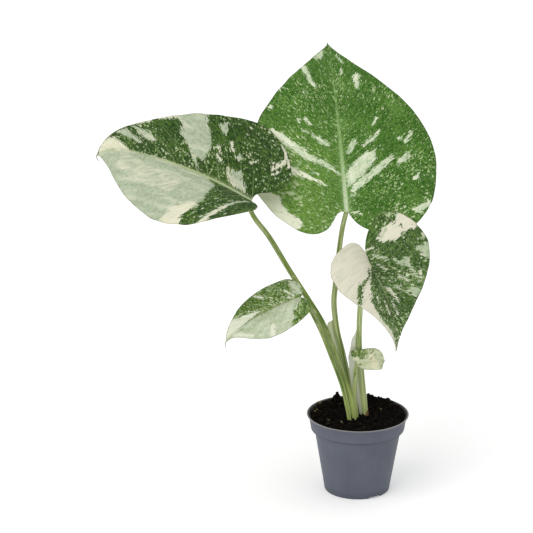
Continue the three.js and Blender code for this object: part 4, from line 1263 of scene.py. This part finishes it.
# A profile turned about Z: radius and height over the angle, closed at both poles by single points.
def turnedBody(profile, sides):
    angle = 2 * math.pi * np.arange(sides) / sides
    r, z = profile[1:-1, :1], profile[1:-1, 1:]
    grid = np.stack([r * np.cos(angle), r * np.sin(angle), np.broadcast_to(z, (len(r), sides))], -1)
    return tubeBody(grid, [0, 0, profile[0, 1]], [0, 0, profile[-1, 1]])


# A box from its low to its high corner, turned about Z by an angle in degrees.
def boxBody(low, high, turn):
    corners = np.array([
        [x, y, z] for x in (low[0], high[0]) for y in (low[1], high[1]) for z in (low[2], high[2])
    ], float)
    c, s = math.cos(math.radians(turn)), math.sin(math.radians(turn))
    corners[:, :2] = corners[:, :2] @ np.array([[c, s], [-s, c]])
    sides = [[0, 1, 3, 2], [4, 6, 7, 5], [0, 4, 5, 1], [2, 3, 7, 6], [0, 2, 6, 4], [1, 5, 7, 3]]
    return corners, [sides]


# The pot's profile, from the middle of its foot out, up, over the lip and down inside to its floor,
# is turned about Z; the drain holes and the two notches in the foot ring are cut out of it.
def makePot(material):
    floorTop = pot["recess"] + pot["floor"]
    corners = [
        (0, 0, 0), (pot["padRadius"], 0, 0.3), (pot["padRadius"] + 1.5, pot["recess"], 0.4),
        (pot["ringRadius"] - 1.5, pot["recess"], 0.4), (pot["ringRadius"], 0, 0.3),
        (pot["footRadius"] - 0.6, 0, 1.1), (pot["footRadius"] + pot["footFlare"], pot["footHeight"], 0),
        (pot["bodyTopRadius"], collarFoot - 0.3, 0.5), (pot["collarFootRadius"] - 0.2, collarFoot + 0.2, 1.0),
        (pot["collarTopRadius"], lipFoot - 0.4, 1.4), (pot["lipRadius"], pot["height"] - 0.9, 0.5),
        (pot["lipRadius"], pot["height"], 0.5), (pot["lipRadius"] - pot["lipWidth"], pot["height"], 0.4),
        (insideRadius(lipFoot), lipFoot, 1.2),
        (insideRadius(stepTop), stepTop, 1.2), (insideRadius(stepFoot), stepFoot, 1.2),
        (insideRadius(pot["footHeight"]), pot["footHeight"], 0), (insideRadius(floorTop), floorTop, 0.8),
        (0, floorTop, 0),
    ]
    points, faces = turnedBody(roundedProfile(corners), pot["sides"])
    body = meshObject("pot_body", points, faces)
    tools = []
    for k in range(pot["drainHoles"]):
        angle = 2 * math.pi * k / pot["drainHoles"]
        r = pot["drainRadius"]
        hole = np.array([(0, -3), (r, -3), (r, 8), (0, 8)], float)
        holePoints, holeFaces = turnedBody(hole, pot["drainSides"])
        holePlace = pot["drainCircle"] * np.array([math.cos(angle), math.sin(angle), 0])
        tools.append(meshObject("drain_tool", holePoints + holePlace, holeFaces))
    for turn in (0, 180):
        low = (-pot["notchWidth"] / 2, -(pot["ringRadius"] - 2 + pot["notchDepth"]), -2)
        high = (pot["notchWidth"] / 2, -(pot["ringRadius"] - 2), pot["notchHeight"])
        tools.append(meshObject("notch_tool", *boxBody(low, high, pot["notchTurn"] + turn)))
    for tool in tools:
        cut = body.modifiers.new("cut", "BOOLEAN")
        cut.operation = "DIFFERENCE"
        cut.solver = "EXACT"
        cut.object = tool
    bpy.context.view_layer.update()
    mesh = bpy.data.meshes.new_from_object(body.evaluated_get(bpy.context.evaluated_depsgraph_get()))
    for made in (body, *tools):
        bpy.data.objects.remove(made)
    mesh.name = "nursery_pot"
    mesh.materials.clear()
    mesh.materials.append(material)
    mesh.polygons.foreach_set("use_smooth", [True] * len(mesh.polygons))
    mesh.set_sharp_from_angle(angle=math.radians(pot["sharpAngle"]))
    piece = bpy.data.objects.new("nursery_pot", mesh)
    bpy.context.scene.collection.objects.link(piece)
    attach(piece, "root")
    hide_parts("pot")
    print("monstera: pot", len(mesh.polygons), "faces")


# The pot's look: repeats of the noise to a metre, or round the pot and to a metre up it. The ranges
# over which wear, dust and the painted highlight and shade come in are heights and radii in metres.
potLook = {
    "specular": 0.3, "roughness": 0.46, "relief": 0.0002,
    "grain": 1500.0, "cloud": 26.0, "drag": (40, 14), "scuff": (9, 420),
    "lipWearAndHighlight": (0.0931, 0.0936), "footShade": (0.001, 0.012), "collarLine": (0.0005, 0.0018),
    "dustAndShadeReach": (0.0561, 0.0567), "dustAndShadeFrom": (0.08, 0.086), "dustAndShadeThins": (0.0915, 0.094),
    "paints": {
        "plastic": (82, 86, 98), "worn": (92, 96, 108), "drag": (102, 106, 118),
        "scuff": (132, 136, 146), "lip": (160, 157, 154), "foot": (70, 74, 84),
        "dust": (22, 19, 16), "collarLine": (52, 55, 64),
    },
}


# Moulded plastic: fine matte grain, faint vertical drag lines and scuffs, a paler lip that is worn and has
# a painted highlight along its top, painted shade darkening the foot, a dark line painted under the collar
# as its shadow, and soil dust on the inside, dark enough to be painted shade there too.
def potMaterial():
    material, shade, surface = newMaterial("pot_plastic", {"Specular IOR Level": potLook["specular"]})
    paints = {key: paint(*value) for key, value in potLook["paints"].items()}
    lipEdge, collarAt = lipFoot * millimetre, collarFoot * millimetre
    place = shade.place()
    x, y, z = place.parts()
    grain, cloud = shade.noise(place, potLook["grain"], 3.0), shade.noise(place, potLook["cloud"], 3.0)
    turn = shade.math("ARCTAN2", y, x)

    def roundNoise(kind, shift, detail):
        around, up = potLook[kind]
        return shade.noise(shade.vector(turn * around, z * up, shift), 1.0, detail)

    drag, scuff = roundNoise("drag", 3.0, 3.0), roundNoise("scuff", 5.0, 4.0).step(0.62, 0.78)
    colour = shade.colour(paints["plastic"], paints["worn"], (cloud * 0.6 + grain * 0.4).step(0.35, 0.65))
    colour = colour.covered(paints["drag"], drag.step(0.5, 0.75) * 0.3)
    colour = colour.covered(paints["scuff"], scuff * 0.1)
    # The lip is paler at its top: wear, and a painted highlight along the top edge.
    colour = colour.covered(paints["lip"], z.step(*potLook["lipWearAndHighlight"]) * (0.45 + cloud * 0.5))
    # Painted shade darkens the pot towards its foot.
    colour = colour.covered(paints["foot"], (1 - z.step(*potLook["footShade"])) * 0.5)
    # Soil dust on the inside, dark enough to be painted shade there as well; the flare of the lip is taken
    # out of the radius first.
    reach = (x * x + y * y).root()
    wallAt = reach - (z - lipEdge).most(0.0) * 0.8 - (z - lipEdge).least(0.0) * 0.16
    inside = 1 - (wallAt + (cloud - 0.5) * 0.0006).step(*potLook["dustAndShadeReach"])
    dust = inside * z.step(*potLook["dustAndShadeFrom"])
    colour = colour.covered(paints["dust"], dust * (0.95 - z.step(*potLook["dustAndShadeThins"]) * 0.35))
    # A dark line painted round the foot of the collar, as the shadow under its step.
    line = 1 - (z - collarAt).size().step(*potLook["collarLine"])
    colour = colour.covered(paints["collarLine"], line * 0.85)
    roughness = potLook["roughness"] + grain * 0.1 + cloud * 0.08
    height = grain * 0.6 + drag * 0.4
    finishMaterial(shade, surface, colour, roughness, height, potLook["relief"])
    return material


makePot(potMaterial())


# Soil

soil = {
    "level": 90.2, "gap": 0.3, "rings": 120, "sectors": 300,
    # How far the edge drops at the pot's wall, and over which width.
    "edgeDrop": 1.2, "edgeWidth": 4,
    # Slanting waves: height, rates along x and y, and start.
    "waves": [(0.45, 0.83, -0.52, 2.1), (0.35, 0.61, 0.97, -0.7)],
    # The low heaps: x, y, height and width.
    "heaps": [
        (17, 44, 9.6, 13), (37, 35, 8, 10), (49, 20, 5.5, 10), (53, 2, 2.5, 8), (-8, 47, 5, 10),
        (-23, 41, 13, 5.5), (-35, 32, 6, 12), (-50, 14, 2.5, 9), (2, 6, 1.6, 16),
    ],
    "clodRun": 5.5, "clodHeight": 1.7, "crumbRun": 2.1, "crumbHeight": 0.7, "settled": 0.9,
    # Repeats of the material's noise and cells to a metre, and the depth of its bump in metres.
    "coarse": 220.0, "fine": 1100.0, "cells": 420.0, "relief": 0.0012,
    "paints": {"dark": (8, 6, 4), "light": (22, 17, 12), "fibre": (46, 34, 24), "hollowShade": (3, 2, 1)},
}


# Height of the surface: the level, bumps of a sine both ways, two slanting waves and the heaps, with
# clods and crumbs on top, less what they raise it by.
def soilHeight(x, y):
    waves = 0.7 * np.sin(0.31 * x + 1.3) * np.sin(0.37 * y + 0.4)
    for high, alongX, alongY, start in soil["waves"]:
        waves = waves + high * np.sin(alongX * x + alongY * y + start)
    for heapX, heapY, high, wide in soil["heaps"]:
        waves = waves + high * np.exp(-((x - heapX) ** 2 + (y - heapY) ** 2) / wide ** 2)
    place = np.stack([x, y], -1)
    clods = np.abs(layeredNoise(place / soil["clodRun"], 2, 31)) * soil["clodHeight"]
    clods = clods + layeredNoise(place / soil["crumbRun"], 3, 37) * soil["crumbHeight"]
    return soil["level"] + waves + clods - soil["settled"]


# Dark moist mix: brown and black in clouds, with brighter fibres in a few cells, and black painted shade in
# the low hollows of its bump.
def soilMaterial():
    material, shade, surface = newMaterial("potting_mix", {"Specular IOR Level": 0.08})
    paints = {key: paint(*value) for key, value in soil["paints"].items()}
    place = shade.place()
    coarse, fine = shade.noise(place, soil["coarse"], 4.0), shade.noise(place, soil["fine"], 3.0)
    scaled = {0: place, "Scale": soil["cells"]}
    cell = shade.cells(shade.node("ShaderNodeVectorMath", {"operation": "SCALE"}, scaled))
    tint = cell.other("Color").parts()[0]
    colour = shade.colour(paints["dark"], paints["light"], coarse.step(0.36, 0.66))
    colour = colour.covered(paints["fibre"], tint.step(0.9, 0.97) * 0.6)
    # Black painted shade where the fine noise makes hollows in the bump.
    colour = colour.covered(paints["hollowShade"], fine.step(0.5, 0.34) * 0.8)
    roughness = 0.86 + fine * 0.12
    height = coarse * 0.5 + fine * 0.4 - cell * 0.5
    finishMaterial(shade, surface, colour, roughness, height, soil["relief"])
    return material


# Rings from the pot's floor up its inside, and then in over the surface to the middle.
def makeSoil(material):
    floor = pot["recess"] + pot["floor"] + soil["gap"]
    rim = float(insideRadius(soil["level"] - 1)) - soil["gap"]
    radii = rim * np.linspace(1, 0, soil["rings"] + 1)[:-1]
    angle = 2 * math.pi * np.arange(soil["sectors"]) / soil["sectors"]
    x, y = radii[:, None] * np.cos(angle), radii[:, None] * np.sin(angle)
    drop = 1 - smoothStep((rim - radii) / soil["edgeWidth"])
    z = soilHeight(x, y) - soil["edgeDrop"] * drop[:, None]
    top = np.stack([x, y, z], -1)
    walls = []
    for height in (floor, pot["footHeight"], stepFoot, stepTop, soil["level"] - 4):
        radius = float(insideRadius(height)) - soil["gap"]
        walls.append(np.stack([radius * np.cos(angle), radius * np.sin(angle), 0 * angle + height], -1))
    centre = float(soilHeight(np.zeros(1), np.zeros(1))[0])
    points, faces = tubeBody(np.concatenate([np.array(walls), top]), [0, 0, floor], [0, 0, centre])
    addPiece("crumbly_soil", points, faces, material, replaced=["soil"])


# Lumps on the soil: how many, least and greatest size and stretch, the share of the size that stands
# proud, and set places (x, y) for the first ones, which take the bright colour.
litter = {
    "soil_crumbs": {
        "count": 1100, "sizes": (0.5, 1.9), "stretch": (0.75, 1.3), "raised": 0.25, "spots": [],
        "material": "crumbs", "dark": (7, 5, 4), "light": (24, 18, 13), "bright": (52, 39, 27),
    },
    "bark_chips": {
        "count": 46, "sizes": (1.2, 2.6), "stretch": (0.45, 1.7), "raised": 0.2,
        "spots": [(-50, 9), (-48, 13), (-44, 34), (-34.6, -12.6), (-19.8, -19)],
        "material": "bark", "dark": (24, 19, 14), "light": (58, 45, 32), "bright": (150, 142, 98),
    },
}
lump = {"seed": 11, "fromWall": 2.5, "dent": 0.22, "flatness": 0.8, "grain": 900.0, "relief": 0.0006}


# The twelve corners and twenty faces of an icosahedron of radius 1.
def lumpShape():
    g = (1 + math.sqrt(5)) / 2
    corners = [
        (-1, g, 0), (1, g, 0), (-1, -g, 0), (1, -g, 0), (0, -1, g), (0, 1, g), (0, -1, -g), (0, 1, -g),
        (g, 0, -1), (g, 0, 1), (-g, 0, -1), (-g, 0, 1),
    ]
    sides = [
        (0, 11, 5), (0, 5, 1), (0, 1, 7), (0, 7, 10), (0, 10, 11), (1, 5, 9), (5, 11, 4), (11, 10, 2),
        (10, 7, 6), (7, 1, 8), (3, 9, 4), (3, 4, 2), (3, 2, 6), (3, 6, 8), (3, 8, 9), (4, 9, 5),
        (2, 4, 11), (6, 2, 10), (8, 6, 7), (9, 8, 1),
    ]
    return unit(np.array(corners, float)), np.array(sides)


# Random turns: each lump's axes are the orthogonal part of a matrix of random normals, signed so that
# none is mirrored.
def randomTurns(random, count):
    axes = np.linalg.qr(random.normal(size=(count, 3, 3)))[0]
    return axes * np.sign(np.linalg.det(axes))[:, None, None]


# Lumps scattered over the soil: each is the lump shape stretched, dented and turned at random, and
# sunk about halfway into the surface.
def scatter(name, kind, material, random):
    shape, sides = lumpShape()
    count, spots = kind["count"], kind["spots"]
    away = (float(insideRadius(soil["level"])) - lump["fromWall"]) * np.sqrt(random.random(count))
    angle = 2 * math.pi * random.random(count)
    x, y = away * np.cos(angle), away * np.sin(angle)
    x[:len(spots)], y[:len(spots)] = np.array(spots, float).reshape(-1, 2).T
    size = np.exp(random.uniform(*np.log(kind["sizes"]), count))
    long = random.uniform(*kind["stretch"], (count, 3))
    dent = 1 + random.uniform(-lump["dent"], lump["dent"], (count, len(shape)))
    lumps = shape[None] * dent[..., None] * (size[:, None] * long)[:, None]
    lumps = np.einsum("nij,nkj->nki", randomTurns(random, count), lumps)
    # Flattened a little where they lie.
    lumps[..., 2] *= lump["flatness"]
    z = soilHeight(x, y) + size * kind["raised"]
    points = lumps + np.stack([x, y, z], -1)[:, None]
    faces = sides[None] + (np.arange(count) * len(shape))[:, None, None]
    tint = random.random(count)
    tint[:len(spots)] = 1
    addPiece(name, points.reshape(-1, 3), [faces.reshape(-1, 3)], material,
             {"tint": np.repeat(tint, len(shape))}, smooth=False)


# Each lump has its own tint between dark and light, broken up by grain, and a few are bright.
def litterMaterial(kind):
    material, shade, surface = newMaterial(kind["material"], {"Specular IOR Level": 0.08})
    dark, light, bright = (paint(*kind[key]) for key in ("dark", "light", "bright"))
    tint = shade.node("ShaderNodeAttribute", {"attribute_name": "tint"}, {}, "Fac")
    place = shade.place()
    fine = shade.noise(place, lump["grain"], 3.0)
    colour = shade.colour(dark, light, (tint * 0.7 + fine * 0.3).step(0.3, 0.8))
    colour = colour.covered(bright, tint.step(0.93, 0.97) * 0.8)
    finishMaterial(shade, surface, colour, 0.85 + fine * 0.12, fine, lump["relief"])
    return material


makeSoil(soilMaterial())
soilRandom = np.random.default_rng(lump["seed"])
for litterName, litterKind in litter.items():
    scatter(litterName, litterKind, litterMaterial(litterKind), soilRandom)
print("monstera: soil, crumbs and bark")


# Dry scale of an old sheath at the right petiole's foot: a thin curled strip that narrows upwards.
dryScale = {
    "foot": 87.5, "top": 98.6, "halfWidth": 2.1, "thickness": 0.55, "away": 2.2, "turn": -70, "lean": 0.12,
    "rings": 40, "around": 28, "narrowing": 0.93, "bow": 0.25,
    "dark": (92, 58, 34), "light": (176, 134, 88), "fibres": (2600, 2600, 260), "relief": 0.0003,
}


# Rows go up the strip and columns round its flattened ring; the width falls as a square root to the
# top, and the middle bows away from the stem.
def makeDryScale():
    material, shade, surface = newMaterial("dry_sheath", {"Specular IOR Level": 0.25})
    place = shade.place()
    drawnOut = shade.node("ShaderNodeMapping", {}, {"Vector": place, "Scale": dryScale["fibres"]})
    fibre = shade.noise(drawnOut, 1.0, 3.0)
    dark, light = paint(*dryScale["dark"]), paint(*dryScale["light"])
    colour = shade.colour(dark, light, fibre.step(0.35, 0.66))
    finishMaterial(shade, surface, colour, 0.7 + fibre * 0.15, fibre, dryScale["relief"])
    turn = math.radians(dryScale["turn"])
    outward = np.array([math.cos(turn), math.sin(turn), 0])
    along = np.array([-math.sin(turn), math.cos(turn), 0])
    stem = leaves["right_leaf"]["petiole"]
    away = stem["radii"][1] + dryScale["away"]
    share = np.linspace(0, 1, dryScale["rings"])[:, None]
    angle = 2 * math.pi * np.arange(dryScale["around"])[None] / dryScale["around"]
    z = dryScale["foot"] + (dryScale["top"] - dryScale["foot"]) * share + 0 * angle
    wide = dryScale["halfWidth"] * np.sqrt(1 - dryScale["narrowing"] * share ** 2)
    wide = wide * (1 + 0.05 * np.sin(19 * share))
    a = np.cos(angle)
    out = away + dryScale["lean"] * (z - dryScale["foot"]) - dryScale["bow"] * wide * a ** 2
    out = out + 0.5 * dryScale["thickness"] * np.sin(angle) * (1 - 0.4 * share)
    points = np.array([*stem["points"][0][:2], 0]) + out[..., None] * outward + (wide * a)[..., None] * along
    points[..., 2] = z
    # The ring runs the other way round here, so the faces are turned over.
    strip, faces = tubeBody(points, points[0].mean(0), points[-1].mean(0))
    addPiece("dry_sheath_strip", strip, [group[:, ::-1] for group in faces], material,
             replaced=["dry_sheath_scale"])


makeDryScale()


# Floor

# Metres from the middle to each side, two greys and how much the paper is lit from below as well,
# so that it stays white far behind the plant.
paper = {"reach": 40, "dark": (0.93, 0.93, 0.93), "light": (0.95, 0.95, 0.95), "glow": 0.22}

floorMesh = bpy.data.meshes.new("floor")
floorCorners = [(x * paper["reach"], y * paper["reach"], 0) for x, y in ((-1, -1), (1, -1), (1, 1), (-1, 1))]
floorMesh.from_pydata(floorCorners, [], [(0, 1, 2, 3)])
floorObject = bpy.data.objects.new("floor", floorMesh)
bpy.context.scene.collection.objects.link(floorObject)
floorMaterial, floorShade, floorSurface = newMaterial("paper", {
    "Roughness": 0.9, "Specular IOR Level": 0.1,
    "Emission Color": (1, 1, 1, 1), "Emission Strength": paper["glow"],
})
paperGrain = floorShade.noise(floorShade.place(), 30.0, 2.0)
finishMaterial(floorShade, floorSurface, floorShade.colour(paper["dark"], paper["light"], paperGrain))
floorMesh.materials.append(floorMaterial)
print("monstera: floor and lights")
